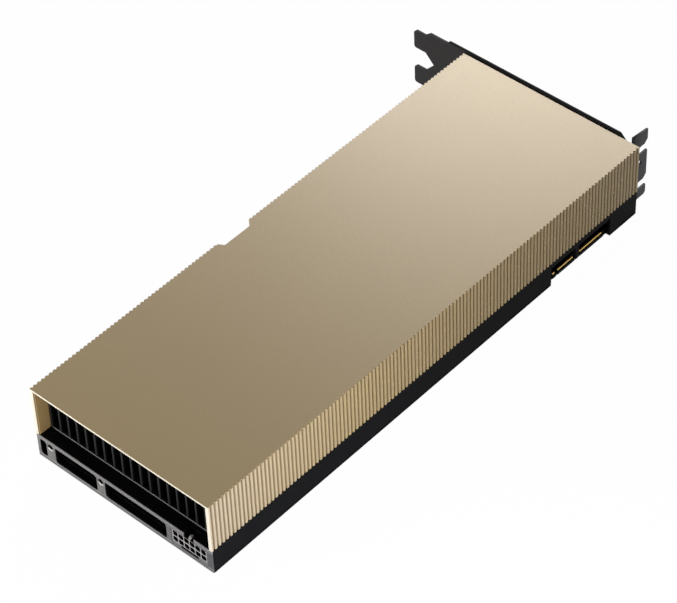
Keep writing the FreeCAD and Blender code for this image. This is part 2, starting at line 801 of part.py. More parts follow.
def make_board():
    """Circuit board with its slot connector edge, retention hook, bridge edge and header cut-out."""
    body = new_body("circuit_board")
    outline = sketch_on(body, "board_outline", "XY_Plane", board_floor)
    slot_tip = f"({side} + edge_protrusion)"
    key_root = f"({slot_tip} - key_depth)"
    key_head = f"({head} - key_reach + key_width / 2)"
    key_tail = f"({head} - key_reach - key_width / 2)"
    bridge_root = f"({bridge_edge} + notch_depth)"
    divider_tail = f"({head} - divider_reach - divider_width / 2 - notch_clear)"
    divider_head = f"({head} - divider_reach + divider_width / 2 + notch_clear)"
    gap_tail = f"({head} - end_row_reach + end_row_count * bridge_pitch)"
    gap_head = f"({head} - near_row_reach - notch_clear)"
    near_side = f"-{board_side}"
    header_edge = "-(header_offset - header_width / 2 - header_clear)"
    draw_polygon(outline, [
        (header_back, near_side), (bridge_tail, near_side), (bridge_tail, bridge_edge),
        (gap_tail, bridge_edge), (gap_tail, bridge_root), (gap_head, bridge_root), (gap_head, bridge_edge),
        (divider_tail, bridge_edge), (divider_tail, bridge_root), (divider_head, bridge_root),
        (divider_head, bridge_edge), (bridge_head, bridge_edge), (bridge_head, near_side),
        (board_head, near_side), (board_head, board_side),
        (edge_head, board_side), (edge_head, slot_tip), (key_head, slot_tip), (key_head, key_root),
        (key_tail, key_root), (key_tail, slot_tip), (edge_tail, slot_tip), (edge_tail, key_root),
        (hook_head, key_root), (hook_head, f"{slot_tip} - hook_drop"), (hook_tail, f"{slot_tip} - hook_drop"),
        (hook_tail, board_side), (board_tail, board_side), (board_tail, header_edge),
        (header_back, header_edge),
    ])
    body.Tip = pad(body, outline, "board_sheet")
    tip_line = size("card_width") / 2 + size("edge_protrusion") - 1e-3
    dress(body, "Chamfer", "edge_chamfer", "edge_bevel",
          lambda edge: runs_along(edge, 0) and edge.BoundBox.YMin > tip_line)
    for number, place_along in enumerate(boss_places()):
        hole = sketch_on(body, f"board_hole_{number}", "XY_Plane", board_floor)
        draw_circle(hole, (place_along, boss_row), "screw_radius + screw_clear")
        feature = pocket(body, hole, "board_sheet", forwards=True)
        mirror(body, [feature], "XZ_Plane")
    for number, (along, across) in enumerate(pillar_places()):
        hole = sketch_on(body, f"pillar_hole_{number}", "XY_Plane", board_floor)
        draw_circle(hole, (along, across), "screw_radius + screw_clear")
        pocket(body, hole, "board_sheet", forwards=True)
    return body


def make_fingers():
    """Gold slot contacts on both faces of the board, missing where the key is."""
    places = []
    for reach, length in ((f"({head} - key_reach + key_width / 2)", "short_edge"), (edge_tail, "long_edge")):
        count = int(size(length) / size("finger_pitch"))
        margin = f"({length} - {count - 1} * finger_pitch - finger_width) / 2"
        places += [f"{reach} + {margin} + {step} * finger_pitch" for step in range(count)]
    across = f"{side} + edge_protrusion - finger_inset - finger_length"
    levels = {"edge_contacts_front": board_top, "edge_contacts_back": f"{board_floor} - plating"}
    for name, level in levels.items():
        fingers = [box(f"{name}_{step}", [along, across, level], ["finger_width", "finger_length", "plating"])
                   for step, along in enumerate(places)]
        yield group(name, fingers)


def make_bridge_contacts():
    """Rows of gold contacts along the bridge edge of the board."""
    contacts = []
    for row in ("far_row", "near_row", "end_row"):
        for step in range(int(size(row + "_count"))):
            along = f"{head} - {row}_reach + {step} * bridge_pitch"
            contacts.append(box(f"{row}_{step}", [along, f"{bridge_edge} + bridge_finger_inset", board_top],
                                ["bridge_finger", "bridge_finger_length", "plating"]))
    return group("bridge_contacts", contacts)


def make_heatsink_base():
    """Vapour-chamber base with a pedestal for the processor, two rails and four screw pillars."""
    body = new_body("heatsink_base")
    outline = sketch_on(body, "base_outline", "XY_Plane", base_floor)
    base_head = f"{base_tail} + heatsink_length"
    draw_rectangle(outline, (base_tail, "-base_width / 2"), (base_head, "base_width / 2"))
    body.Tip = pad(body, outline, "base_sheet")
    paste_top = f"({paste_floor} + paste_sheet)"
    pedestal = sketch_on(body, "pedestal", "XY_Plane", paste_top)
    draw_rectangle(pedestal, ("package_place - pedestal_length / 2", "package_offset - pedestal_width / 2"),
                   ("package_place + pedestal_length / 2", "package_offset + pedestal_width / 2"))
    pad(body, pedestal, f"{base_floor} - {paste_top}")
    rail_floor = f"({board_top} + stage_height + pad_sheet)"
    for number, sign in enumerate("-+"):
        rail = sketch_on(body, f"rail_{number}", "XY_Plane", rail_floor)
        middle = f"(package_place {sign} stage_distance)"
        draw_rectangle(rail, (f"{middle} - rail_width / 2", f"package_offset - {stage_span} / 2"),
                       (f"{middle} + rail_width / 2", f"package_offset + {stage_span} / 2"))
        pad(body, rail, f"{base_floor} - {rail_floor}")
    for number, (along, across) in enumerate(pillar_places()):
        pillar = sketch_on(body, f"pillar_{number}", "XY_Plane", board_top)
        draw_circle(pillar, (along, across), "pillar_radius")
        pad(body, pillar, f"{base_floor} - {board_top}")
        bore = sketch_on(body, f"pillar_bore_{number}", "XY_Plane", board_top)
        draw_circle(bore, (along, across), "screw_radius")
        pocket(body, bore, "thread_depth", forwards=True)
    clear_jog(body, base_top, "base_sheet")
    return body


def clear_jog(body, level, depth):
    """Cut the heatsink back where the shroud's far wall steps inwards."""
    relief = sketch_on(body, body.Label + "_jog_relief", "XY_Plane", level)
    draw_rectangle(relief, (f"{jog_tail} - base_clear", f"{jog_floor} - wall_sheet - base_clear"),
                   (f"{jog_head} + base_clear", side))
    pocket(body, relief, depth)


def make_fins():
    """Upright cooling fins, each with a folded foot soldered to the base."""
    body = new_body("fins", several=True)
    section = sketch_on(body, "fin_section", "YZ_Plane", base_tail)
    face = "(fin_shift - (fin_count - 1) * fin_pitch / 2 + fin_sheet / 2)"
    draw_polygon(section, [(face, base_top), (face, fin_tip), (f"{face} - fin_sheet", fin_tip),
                           (f"{face} - fin_sheet", f"{base_top} + fin_sheet / 2"),
                           (f"{face} - fin_foot", f"{base_top} + fin_sheet / 2"),
                           (f"{face} - fin_foot", base_top)])
    fin = pad(body, section, "heatsink_length")
    repeat(body, fin, "Y_Axis", "(fin_count - 1) * fin_pitch", "fin_count")
    clear_jog(body, fin_tip, f"{fin_tip} - {base_top}")
    return body


def make_package():
    """Processor package: substrate, die, memory stacks, stiffening ring and the paste on top."""
    middle = ("package_place", "package_offset")
    substrate_top = f"{board_top} + substrate_sheet"
    yield centred_box("gpu_substrate", middle, board_top, ["package_side", "package_side", "substrate_sheet"])
    yield centred_box("gpu_die", middle, substrate_top, ["die_length", "die_width", "die_sheet"])
    stacks = []
    for sign in "-+":
        along = f"package_place {sign} (die_length / 2 + stack_gap + stack_length / 2)"
        for step in (-1, 0, 1):
            across = f"package_offset + {step} * (stack_width + stack_gap)"
            stacks.append(centred_box(f"stack_{len(stacks)}", (along, across), substrate_top,
                                      ["stack_length", "stack_width", "die_sheet"]))
    yield group("memory_stacks", stacks)
    rim = centred_box("ring_rim", middle, substrate_top, ["package_side", "package_side", "ring_sheet"])
    inner = "package_side - 2 * ring_width"
    window = centred_box("ring_window", middle, substrate_top, [inner, inner, "ring_sheet"])
    yield cut("package_frame", rim, [window])
    yield centred_box("thermal_paste", middle, paste_floor,
                      ["die_length + 2 * (stack_gap + stack_length)", "3 * stack_width + 2 * stack_gap",
                       "paste_sheet"])


def phase_row():
    """The places of the regulator phases across the card."""
    count = int(size("phase_count"))
    return [f"package_offset + ({step} - (phase_count - 1) / 2) * phase_pitch" for step in range(count)]


def make_regulator():
    """Two columns of power stages with their pads and chokes, and the filter capacitors."""
    sides = "-+"
    columns = [f"package_place {sign} stage_distance" for sign in sides]
    stages = [centred_box(f"stage_{number}_{step}", (along, across), board_top,
                          ["stage_length", "stage_width", "stage_height"])
              for number, along in enumerate(columns) for step, across in enumerate(phase_row())]
    yield group("power_stages", stages)
    pads = [centred_box(f"stage_pad_{number}", (along, "package_offset"), f"{board_top} + stage_height",
                        ["rail_width", stage_span, "pad_sheet"]) for number, along in enumerate(columns)]
    yield group("stage_pads", pads)
    back_pads = [centred_box(f"back_pad_{number}", (along, "package_offset"), "backplate_sheet",
                             ["rail_width", stage_span, "board_gap"]) for number, along in enumerate(columns)]
    yield group("backplate_pads", back_pads)
    choke_columns = [f"package_place {sign} choke_distance" for sign in sides]
    chokes = [centred_box(f"choke_{number}_{step}", (along, across), board_top,
                          ["choke_length", "choke_width", "choke_height"])
              for number, along in enumerate(choke_columns) for step, across in enumerate(phase_row())]
    yield group("inductors", chokes)
    cans = [rod(f"can_{step}", [f"{head} - can_reach",
                                f"can_offset + ({step} - (can_count - 1) / 2) * can_pitch", board_top],
                "can_radius", "can_height") for step in range(int(size("can_count")))]
    yield group("input_capacitors", cans)
    chips = [centred_box(f"bulk_{step}", (f"{head} - chip_row_reach",
                                          f"({step} - (chip_count - 1) / 2) * chip_pitch"),
                         board_top, ["chip_width", "chip_length", "chip_height"])
             for step in range(int(size("chip_count")))]
    yield group("bulk_capacitors", chips)


def make_board_chips():
    """The small parts that stand alone on the board."""
    chips = {
        "board_controller": ("controller", "controller_side"),
        "flash_chip": ("flash", "flash_width"),
        "clock_crystal": ("crystal", "crystal_width"),
        "inlet_fuse": ("fuse", "fuse_width"),
    }
    for name, (part, width) in chips.items():
        middle = (f"{head} - {part}_reach", f"{part}_offset")
        yield centred_box(name, middle, board_top, [f"{part}_side", width, f"{part}_height"])


def make_rear_capacitors():
    """A square of small capacitors under the processor, inside the clamp's window."""
    count = int(size("rear_count"))
    steps = [f"({step} - (rear_count - 1) / 2) * rear_pitch" for step in range(count)]
    pieces = [centred_box(f"rear_{row}_{step}", (f"package_place + {along}", f"package_offset + {across}"),
                          f"{board_floor} - rear_height", ["rear_length", "rear_width", "rear_height"])
              for row, along in enumerate(steps) for step, across in enumerate(steps)]
    return group("rear_capacitors", pieces)


def make_clamp():
    """Spring plate behind the board that draws the heatsink onto the processor."""
    body = new_body("clamp_plate")
    level = f"{board_floor} - clamp_sheet"
    reach = "(pillar_spread / 2 + clamp_margin)"
    outline = sketch_on(body, "clamp_outline", "XY_Plane", level)
    draw_rectangle(outline, (f"package_place - {reach}", f"package_offset - {reach}"),
                   (f"package_place + {reach}", f"package_offset + {reach}"))
    body.Tip = pad(body, outline, "clamp_sheet")
    dress(body, "Fillet", "clamp_corners", "clamp_margin - head_clear", lambda edge: runs_along(edge, 2))
    window = sketch_on(body, "clamp_window_outline", "XY_Plane", level)
    draw_rectangle(window, ("package_place - clamp_window / 2", "package_offset - clamp_window / 2"),
                   ("package_place + clamp_window / 2", "package_offset + clamp_window / 2"))
    pocket(body, window, "clamp_sheet", forwards=True)
    for number, (along, across) in enumerate(pillar_places()):
        hole = sketch_on(body, f"clamp_hole_{number}", "XY_Plane", level)
        draw_circle(hole, (along, across), "screw_radius + screw_clear")
        pocket(body, hole, "clamp_sheet", forwards=True)
    return body


def cavity_outline(row):
    """A square cavity with bevelled corners, at the end of the row nearest the card's side."""
    middle = "-(header_offset + (cavity_count - 1) / 2 * cavity_pitch)"
    near, far = "(cavity_side / 2)", "(cavity_side / 2 - cavity_round)"
    corners = [("-" + near, "-" + far), ("-" + far, "-" + near), (far, "-" + near), (near, "-" + far),
               (near, far), (far, near), ("-" + far, near), ("-" + near, far)]
    return [(f"{middle} + {across}", f"{row} + {up}") for across, up in corners]


def make_header():
    """Power header: twelve cavities over a signal slot, a latch ramp, and pins bent down to the board."""
    row_length = "((cavity_count - 1) * cavity_pitch)"
    pins = new_body("power_pins", several=True)
    runs = {"upper_row": "(2 * pin_side + pin_stagger)", "lower_row": "pin_stagger"}
    tip = f"({header_face} + pin_recess)"
    foot_top = f"({board_top} + pin_foot)"
    for row, run in runs.items():
        lower, upper = f"({row} - pin_side / 2)", f"({row} + pin_side / 2)"
        bend = f"({header_back} + {run})"
        heel, toe = f"({bend} + pin_side)", f"({bend} + 2 * pin_side - pin_foot / 2)"
        path = sketch_on(pins, f"{row}_pin", "XZ_Plane", f"header_offset + {row_length} / 2 - pin_side / 2")
        draw_polygon(path, [(tip, lower), (bend, lower), (bend, board_top), (toe, board_top),
                            (toe, foot_top), (heel, foot_top), (heel, upper), (tip, upper)])
        pin = pad(pins, path, "pin_side")
        repeat(pins, pin, "Y_Axis", row_length, "cavity_count")
    yield pins

    body = new_body("header_block")
    outline = sketch_on(body, "header_outline", "YZ_Plane", header_face)
    low = "-(header_offset + header_width / 2)"
    high = "-(header_offset - header_width / 2)"
    draw_rectangle(outline, (low, "header_floor"), (high, header_top))
    body.Tip = pad(body, outline, "header_depth")
    for row in runs:
        cavity = sketch_on(body, f"{row}_cavity", "YZ_Plane", header_face)
        draw_polygon(cavity, cavity_outline(row))
        feature = pocket(body, cavity, "cavity_depth", forwards=True)
        repeat(body, feature, "Y_Axis", row_length, "cavity_count")
    slot = sketch_on(body, "signal_slot", "YZ_Plane", header_face)
    draw_rectangle(slot, ("-(header_offset + slot_width / 2)", "slot_row - slot_height / 2"),
                   ("-(header_offset - slot_width / 2)", "slot_row + slot_height / 2"))
    pocket(body, slot, "cavity_depth", forwards=True)
    ramp = sketch_on(body, "latch_ramp", "XZ_Plane", "header_offset - latch_width / 2")
    draw_polygon(ramp, [(header_face, header_top), (f"{header_face} + latch_length", header_top),
                        (f"{header_face} + latch_length", f"{header_top} + latch_height"),
                        (f"{header_face} + latch_length / 2", f"{header_top} + latch_height")])
    pad(body, ramp, "latch_width")
    yield cut("power_housing", body, [pins])

    first = "(-header_offset - (sense_count - 1) / 2 * sense_pitch - sense_side / 2)"
    signals = [box(f"sense_{step}", [tip, f"{first} + {step} * sense_pitch", "slot_row - sense_side / 2"],
                   ["cavity_depth - pin_recess", "sense_side", "sense_side"])
               for step in range(int(size("sense_count")))]
    yield group("sense_pins", signals)


def make_bracket():
    """Dual-slot sheet bracket: two tongues, a vented face and a folded flange with two screw notches."""
    body = new_body("io_bracket")
    low = "bracket_floor"
    top = "(bracket_floor + bracket_width)"
    half = "(tongue_width / 2)"
    upper = "(tongue_row + slot_spacing)"
    fold = "(-flange_place)"
    relief = "(-(flange_place - bend_relief))"
    outline = sketch_on(body, "bracket_outline", "YZ_Plane", bracket_face)
    draw_polygon(outline, [
        (fold, f"{low} + relief_slant"), (relief, f"{low} + relief_slant"), (f"{relief} + relief_slant", low),
        ("shoulder_place", low), ("shoulder_place + shoulder_step", f"{low} + shoulder_step"),
        ("shoulder_end", f"{low} + shoulder_step"), ("tongue_root", f"tongue_row - {half}"),
        ("tongue_tip", f"tongue_row - {half}"), ("tongue_tip", f"tongue_row + {half} - tongue_chamfer"),
        ("tongue_tip - tongue_chamfer", f"tongue_row + {half}"), ("tongue_root", f"tongue_row + {half}"),
        ("tongue_waist", "tongue_row + slot_spacing / 2"), ("tongue_root", f"{upper} - {half}"),
        ("tongue_tip", f"{upper} - {half}"), ("tongue_tip", f"{upper} + {half} - tongue_chamfer"),
        ("tongue_tip - tongue_chamfer", f"{upper} + {half}"), ("tongue_root", f"{upper} + {half}"),
        ("shoulder_end", f"{top} - shoulder_step"),
        ("shoulder_place + shoulder_step", f"{top} - shoulder_step"), ("shoulder_place", top),
        (f"{relief} + relief_slant", top), (relief, f"{top} - relief_slant"),
        (fold, f"{top} - relief_slant"),
    ])
    body.Tip = pad(body, outline, "bracket_sheet")
    flange = sketch_on(body, "flange", "XZ_Plane", "flange_place")
    flange_tip = f"({bracket_face} + flange_depth)"
    draw_polygon(flange, [(bracket_face, f"{low} + relief_slant"), (bracket_back, f"{low} + relief_slant"),
                          (bracket_back, low), (f"{flange_tip} - flange_round", low),
                          (flange_tip, f"{low} + flange_round"), (flange_tip, f"{top} - flange_taper"),
                          (bracket_back, top), (bracket_back, f"{top} - relief_slant"),
                          (bracket_face, f"{top} - relief_slant")])
    pad(body, flange, "bracket_sheet", backwards=True)
    for number, row in enumerate(("flange_row", "flange_row + slot_spacing")):
        notch = sketch_on(body, f"screw_notch_{number}", "XZ_Plane", "flange_place")
        draw_polygon(notch, [(f"{bracket_face} + notch_reach", f"{row} - flange_notch / 2"),
                             (flange_tip, f"{row} - flange_notch / 2"),
                             (flange_tip, f"{row} + flange_notch / 2 + notch_flare"),
                             (f"{flange_tip} - notch_flare", f"{row} + flange_notch / 2"),
                             (f"{bracket_face} + notch_reach", f"{row} + flange_notch / 2")])
        pocket(body, notch, "bracket_sheet")
        end = sketch_on(body, f"notch_end_{number}", "XZ_Plane", "flange_place")
        draw_circle(end, (f"{bracket_face} + notch_reach", row), "flange_notch / 2")
        pocket(body, end, "bracket_sheet")
    gauge = sketch_on(body, "gauge_hole", "XZ_Plane", "flange_place")
    draw_circle(gauge, (f"{bracket_face} + notch_reach", "gauge_row"), "gauge_radius")
    pocket(body, gauge, "bracket_sheet")

    # Two rows of vents with bevelled ends, then the screw holes below them
    first = "(-(vent_count - 1) * vent_pitch / 2)"
    wide, narrow = "(vent_width / 2)", "(vent_width / 2 - vent_bevel)"
    tall, short = "(vent_height / 2)", "(vent_height / 2 - vent_bevel)"
    corners = [("-" + wide, "-" + short), ("-" + narrow, "-" + tall), (narrow, "-" + tall),
               (wide, "-" + short), (wide, short), (narrow, tall), ("-" + narrow, tall), ("-" + wide, short)]
    for number, row in enumerate(("vent_row", "vent_row + vent_row_pitch")):
        vent = sketch_on(body, f"vent_{number}", "YZ_Plane", bracket_back)
        draw_polygon(vent, [(f"{first} + {across}", f"{row} + {up}") for across, up in corners])
        feature = pocket(body, vent, "bracket_sheet")
        repeat(body, feature, "Y_Axis", "(vent_count - 1) * vent_pitch", "vent_count")
    for number, sign in enumerate(("", "-")):
        hole = sketch_on(body, f"bracket_hole_{number}", "YZ_Plane", bracket_back)
        draw_circle(hole, (f"{sign}lug_place", lug_row), "screw_radius + screw_clear")
        pocket(body, hole, "bracket_sheet")
    dress(body, "Fillet", "tongue_corners", "tongue_chamfer",
          lambda edge: runs_along(edge, 0) and edge.BoundBox.YMin > size("tongue_tip") - 1e-3
          and min(abs(edge.BoundBox.ZMin - level) for level in tongue_heels()) < 1e-3)
    return body


def tongue_heels():
    """The heights of the lower corners of the two tongues."""
    lower = size("tongue_row") - size("tongue_width") / 2
    return [lower, lower + size("slot_spacing")]


def make_inserts():
    """Threaded brass inserts in the tail wall."""
    inserts = []
    for row in ("outer_insert", "inner_insert"):
        base = [tail, row, "insert_height"]
        sleeve = rod(row + "_sleeve", base, "insert_radius", "insert_length", "out")
        bore = rod(row + "_thread", base, "insert_bore", "insert_length", "out")
        inserts.append(cut(row + "_ring", sleeve, [bore]))
    return group("tail_inserts", inserts)


def make_screws():
    """The four sets of screws that hold the card together."""
    grip = "(thread_depth - thread_spare)"
    seat = "(head_sink + screw_head_height)"
    clamp_floor = f"({board_floor} - clamp_sheet - screw_head_height)"
    post_floor = f"({plate_floor} - screw_head_height)"
    signs = ("", "-")
    bosses = [[along, f"{sign}{boss_row}", "head_sink"] for along in boss_places() for sign in signs]
    pillars = [[along, across, clamp_floor] for along, across in pillar_places()]
    posts = [[f"{head} - post_reach", f"{sign}({side} - post_inset)", post_floor] for sign in signs]
    lugs = [[f"{bracket_back} + screw_head_height", f"{sign}lug_place", lug_row] for sign in signs]
    sets = {
        "backplate_screws": (bosses, f"{board_top} - {seat} + {grip}", "up"),
        "heatsink_screws": (pillars, f"clamp_sheet + board_sheet + {grip}", "up"),
        "shroud_screws": (posts, f"frame_sheet + {grip}", "up"),
        "bracket_screws": (lugs, f"bracket_sheet + {grip}", "in"),
    }
    for name, (places, length, turn) in sets.items():
        yield group(name, [screw(f"{name}_{step}", base, length, turn) for step, base in enumerate(places)])


def check_objects():
    """Stop on any object that failed to compute."""
    doc.recompute()
    failed = [item.Name for item in doc.Objects if "Invalid" in item.State or "Error" in item.State]
    if failed:
        raise ValueError(f"failed objects: {failed}")


def main():
    """Build every sub-part, check it and write its file."""
    parts = [make_shroud(), make_frame(), make_divider(), make_backplate(), make_board(),
             make_bridge_contacts(), make_heatsink_base(), make_fins(), make_rear_capacitors(), make_clamp(),
             make_bracket(), make_inserts()]
    for several in (make_fingers(), make_package(), make_regulator(), make_board_chips(), make_header(),
                    make_screws()):
        parts += list(several)
    check_objects()
    for part in parts:
        if part.Shape.isNull() or not part.Shape.isValid() or not part.Shape.Solids:
            raise ValueError(f"{part.Label} has no valid solid")
    for part in parts:
        part.Shape.exportStep(f"parts/{part.Label}.step")
        print(f"{part.Label}: {len(part.Shape.Solids)} solids, {part.Shape.Volume:.1f} mm3")


main()
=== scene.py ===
"""Looks of a passive dual-slot accelerator card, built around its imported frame."""

import math

import bmesh
import bpy
from mathutils import Matrix, Vector


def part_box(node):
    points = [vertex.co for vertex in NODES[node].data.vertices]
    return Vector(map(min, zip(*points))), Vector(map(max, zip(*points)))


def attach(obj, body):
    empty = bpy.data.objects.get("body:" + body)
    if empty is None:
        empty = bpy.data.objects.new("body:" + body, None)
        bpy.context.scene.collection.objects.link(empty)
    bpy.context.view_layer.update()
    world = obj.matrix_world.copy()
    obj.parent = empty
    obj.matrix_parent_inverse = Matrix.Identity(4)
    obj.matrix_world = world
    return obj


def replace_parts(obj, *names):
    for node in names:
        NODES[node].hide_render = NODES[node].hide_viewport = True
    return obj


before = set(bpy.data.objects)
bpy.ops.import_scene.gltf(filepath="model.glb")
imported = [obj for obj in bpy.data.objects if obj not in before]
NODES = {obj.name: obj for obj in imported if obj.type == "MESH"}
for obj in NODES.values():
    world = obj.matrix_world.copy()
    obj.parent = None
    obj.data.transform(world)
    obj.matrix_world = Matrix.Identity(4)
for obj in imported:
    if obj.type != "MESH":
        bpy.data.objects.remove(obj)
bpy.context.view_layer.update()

bl_info = {
    "name": "Passive accelerator card",
    "version": (1, 0, 0),
    "blender": (4, 5, 0),
    "location": "View3D > Sidebar > Card",
    "description": "Builds the fluted shroud, frame, heatsink, bracket and finishes of a server card",
    "category": "Add Mesh",
}

# Corners of the pieces' boxes
SHROUD_LOW, SHROUD_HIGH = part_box("shroud")
BASE_LOW, BASE_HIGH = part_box("heatsink_base")
HEADER_LOW, HEADER_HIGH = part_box("power_housing")
FINS_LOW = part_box("fins")[0]
INSERT_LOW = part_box("tail_inserts")[0]
BRACKET_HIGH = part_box("io_bracket")[1]

# Lengths on the shroud, in metres; the jog is measured from the bracket end
RIB_DEPTH = 0.00055
WALL_SHEET = 0.0021
JOG_REACH = 0.1397
JOG_LENGTH = 0.0202
MOUTH_Y = 0.0469
MOUTH_Z = SHROUD_HIGH.z - 0.0014

# Lengths on the tail wall: the inserts, the foot of the windows' band and its top, and the seam below it
INSERT_HEIGHT = 0.0091
INSERT_CENTRES = [Vector((y, INSERT_HEIGHT)) for y in (0.0125, 0.0412)]
INSERT_BORE = 0.0013
WINDOW_FLOOR = 0.002
WINDOW_CEILING = 0.0107
SEAM_FLOOR = 0.0008
SEAM_HEIGHT = 0.0004
SEAM_BLUR = 0.00003

# Margins round the power header's cavities
HEADER_SIDE = 0.0003
HEADER_SILL = 0.0018
HEADER_TOP = 0.0001

# The bracket's flange, and the bridge contacts: reach from the bracket end and count of each row, and the
# share of a contact's length with the rise there
FLANGE_DEPTH = 0.01143
BRIDGE_ROWS = ((0.0384, 19), (0.0533, 13), (0.0568, 2))
BRIDGE_PITCH = 0.0008
BRIDGE_FINGER = 0.00062
BRIDGE_CROWN = ((0.0, 0.0), (0.06, 0.00030), (0.25, 0.00056), (0.5, 0.00062), (0.8, 0.00040), (1.0, 0.00008),
                (1.0, 0.0))

# Bands in which a finish changes from one colour to another, in metres from a face, edge or middle
RIM_HIGHLIGHT_BAND = (0.00004, 0.0001)
TOP_EDGE_BAND = (-0.0001, -0.0003)
GROOVE_BAND = (-0.11, 0.04)
CREST_BAND = (-0.14, -0.05)
FAR_HALF_BAND = (0.0, 0.001)
TAIL_LIGHT_BAND = (0.0002, 0.0004)
TAIL_SHADE_BAND = (-0.056, -0.006)
SILL_HIGHLIGHT_BAND = (0.0, 0.0001)
RAIL_HIGHLIGHT_BAND = (0.0, 0.0006)
BORE_LIGHT_BAND = (-0.0011, -0.0005)
BORE_SHADE_BAND = (0.00024, 0.0003)
FLANGE_LIGHT_BAND = (0.002, 0.003)
BRACKET_EDGE_SHADE_BAND = (-0.0009, -0.0003)
FIN_EDGE_BAND = (0.0001, 0.0004)
BASE_FRONT_BAND = (0.0003, 0.0002)
BASE_TOP_BAND = (-0.0005, -0.0004)
HEADER_FACE_BAND = (0.00009, 0.00004)
HEADER_LATCH_BAND = (-0.0011, -0.0009)

# Tones of the flutes, one for each channel: painted shade in the grooves, painted light on the crests near
# the tail, painted shade on the inner wall
GROOVE_SHADE_TONE = (0.20, 0.12, 0.04)
CREST_LIGHT_TONE = (0.91, 0.98, 1.5)
INNER_SHADE_TONE = (0.93, 0.84, 0.77)

# Limits for reading the CAD's meshes
MERGE_REACH = 0.000004
FACE_REACH = 0.00001
FLAT_ANGLE = math.radians(0.5)
SHARP_ANGLE = math.radians(28)

# The stage: how much of the white glow the camera and gloss see on the floor, and where the camera stands
WHITE = (1.0, 1.0, 1.0, 1.0)
FLOOR_DARK = (0.93, 0.93, 0.93)
FLOOR_LIGHT = (0.96, 0.96, 0.96)
FLOOR_SEEN = 0.985
FLOOR_IN_GLOSS = 0.5
SKY_STRENGTH = 0.03
CARD_MIDDLE = (0.0, 0.0, 0.03)
CAMERA_PLACE = (-0.63895, -0.60424, 0.88659)
CAMERA_TURN = (45.27541, 1.87741, -48.22197)


# Node trees

class Finish:
    """A procedural material read from the piece's own Object coordinates."""

    def __init__(self, name, metallic, roughness, **sockets):
        self.material = bpy.data.materials.new(name)
        self.material.use_nodes = True
        self.tree = self.material.node_tree
        self.shader = self.tree.nodes["Principled BSDF"]
        self.shader.inputs["Metallic"].default_value = metallic
        self.shader.inputs["Roughness"].default_value = roughness
        for socket, value in sockets.items():
            self.shader.inputs[socket.replace("_", " ")].default_value = value
        self.place = self.add("ShaderNodeTexCoord").outputs["Object"]

    def add(self, kind, **settings):
        """A node with its plain settings and socket values."""
        node = self.tree.nodes.new(kind)
        for key, value in settings.items():
            if hasattr(node, key):
                setattr(node, key, value)
            else:
                node.inputs[key.replace("_", " ")].default_value = value
        return node

    def join(self, source, target):
        """A link between two sockets."""
        self.tree.links.new(source, target)

    def mapped(self, stretch):
        """Object coordinates, stretched along each axis."""
        mapping = self.add("ShaderNodeMapping", Scale=stretch)
        self.join(self.place, mapping.inputs["Vector"])
        return mapping.outputs["Vector"]

    def noise(self, scale, detail=3.0, stretch=(1, 1, 1)):
        """Cloudy pattern; its scale counts features per metre."""
        node = self.add("ShaderNodeTexNoise", Scale=scale, Detail=detail)
        self.join(self.mapped(stretch), node.inputs["Vector"])
        return node.outputs["Fac"]

    def cells(self, scale, feature="F1", stretch=(1, 1, 1)):
        """Cell pattern for pebbles and tracks."""
        node = self.add("ShaderNodeTexVoronoi", feature=feature)
        node.inputs["Scale"].default_value = scale
        self.join(self.mapped(stretch), node.inputs["Vector"])
        return node.outputs["Distance"]

    def ramp(self, source, low, high, low_at=0.3, high_at=0.7):
        """A pattern's value as a range of numbers."""
        node = self.add("ShaderNodeMapRange")
        for socket, value in (("From Min", low_at), ("From Max", high_at), ("To Min", low), ("To Max", high)):
            node.inputs[socket].default_value = value
        self.join(source, node.inputs["Value"])
        return node.outputs["Result"]

    def mix(self, share, first, second):
        """Two colours mixed by a pattern; either may be a socket."""
        node = self.add("ShaderNodeMix", data_type="RGBA")
        self.join(share, node.inputs["Factor"])
        for index, colour in ((6, first), (7, second)):
            if isinstance(colour, bpy.types.NodeSocket):
                self.join(colour, node.inputs[index])
            else:
                node.inputs[index].default_value = (*colour, 1)
        return node.outputs[2]

    def varied(self, pattern, colour, low, high):
        """A colour that a pattern makes darker and lighter."""
        return self.mix(self.ramp(pattern, 0, 1), shade(colour, low), shade(colour, high))

    def past(self, axis, place, band):
        """0 at a band's start and 1 at its end; the band is measured from a place along an axis."""
        start, end = band
        split = self.add("ShaderNodeSeparateXYZ")
        self.join(self.place, split.inputs["Vector"])
        return self.ramp(split.outputs[axis], 0, 1, place + start, place + end)

    def both(self, first, second):
        """1 where both patterns are 1."""
        product = self.add("ShaderNodeMath", operation="MULTIPLY")
        self.join(first, product.inputs[0])
        self.join(second, product.inputs[1])
        return product.outputs[0]

    def within(self, axis, low, high, blur=0.00005):
        """1 between two places along an axis, in metres."""
        return self.both(self.past(axis, low, (-blur, blur)), self.past(axis, high, (blur, -blur)))

    def colour(self, source):
        """The shader's colour comes from this socket."""
        self.join(source, self.shader.inputs["Base Color"])

    def rough(self, source, low, high):
        """Roughness that follows a pattern."""
        self.join(self.ramp(source, low, high), self.shader.inputs["Roughness"])

    def relief(self, source, height, strength):
        """Surface relief in metres that follows a pattern."""
        bump = self.add("ShaderNodeBump", Strength=strength, Distance=height)
        self.join(source, bump.inputs["Height"])
        self.join(bump.outputs["Normal"], self.shader.inputs["Normal"])


def toned(colour, tones):
    """A colour with each channel scaled by its own tone."""
    return tuple(part * tone for part, tone in zip(colour, tones))


def shade(colour, factor):
    """The same colour, lighter or darker."""
    return tuple(min(part * factor, 1.0) for part in colour)


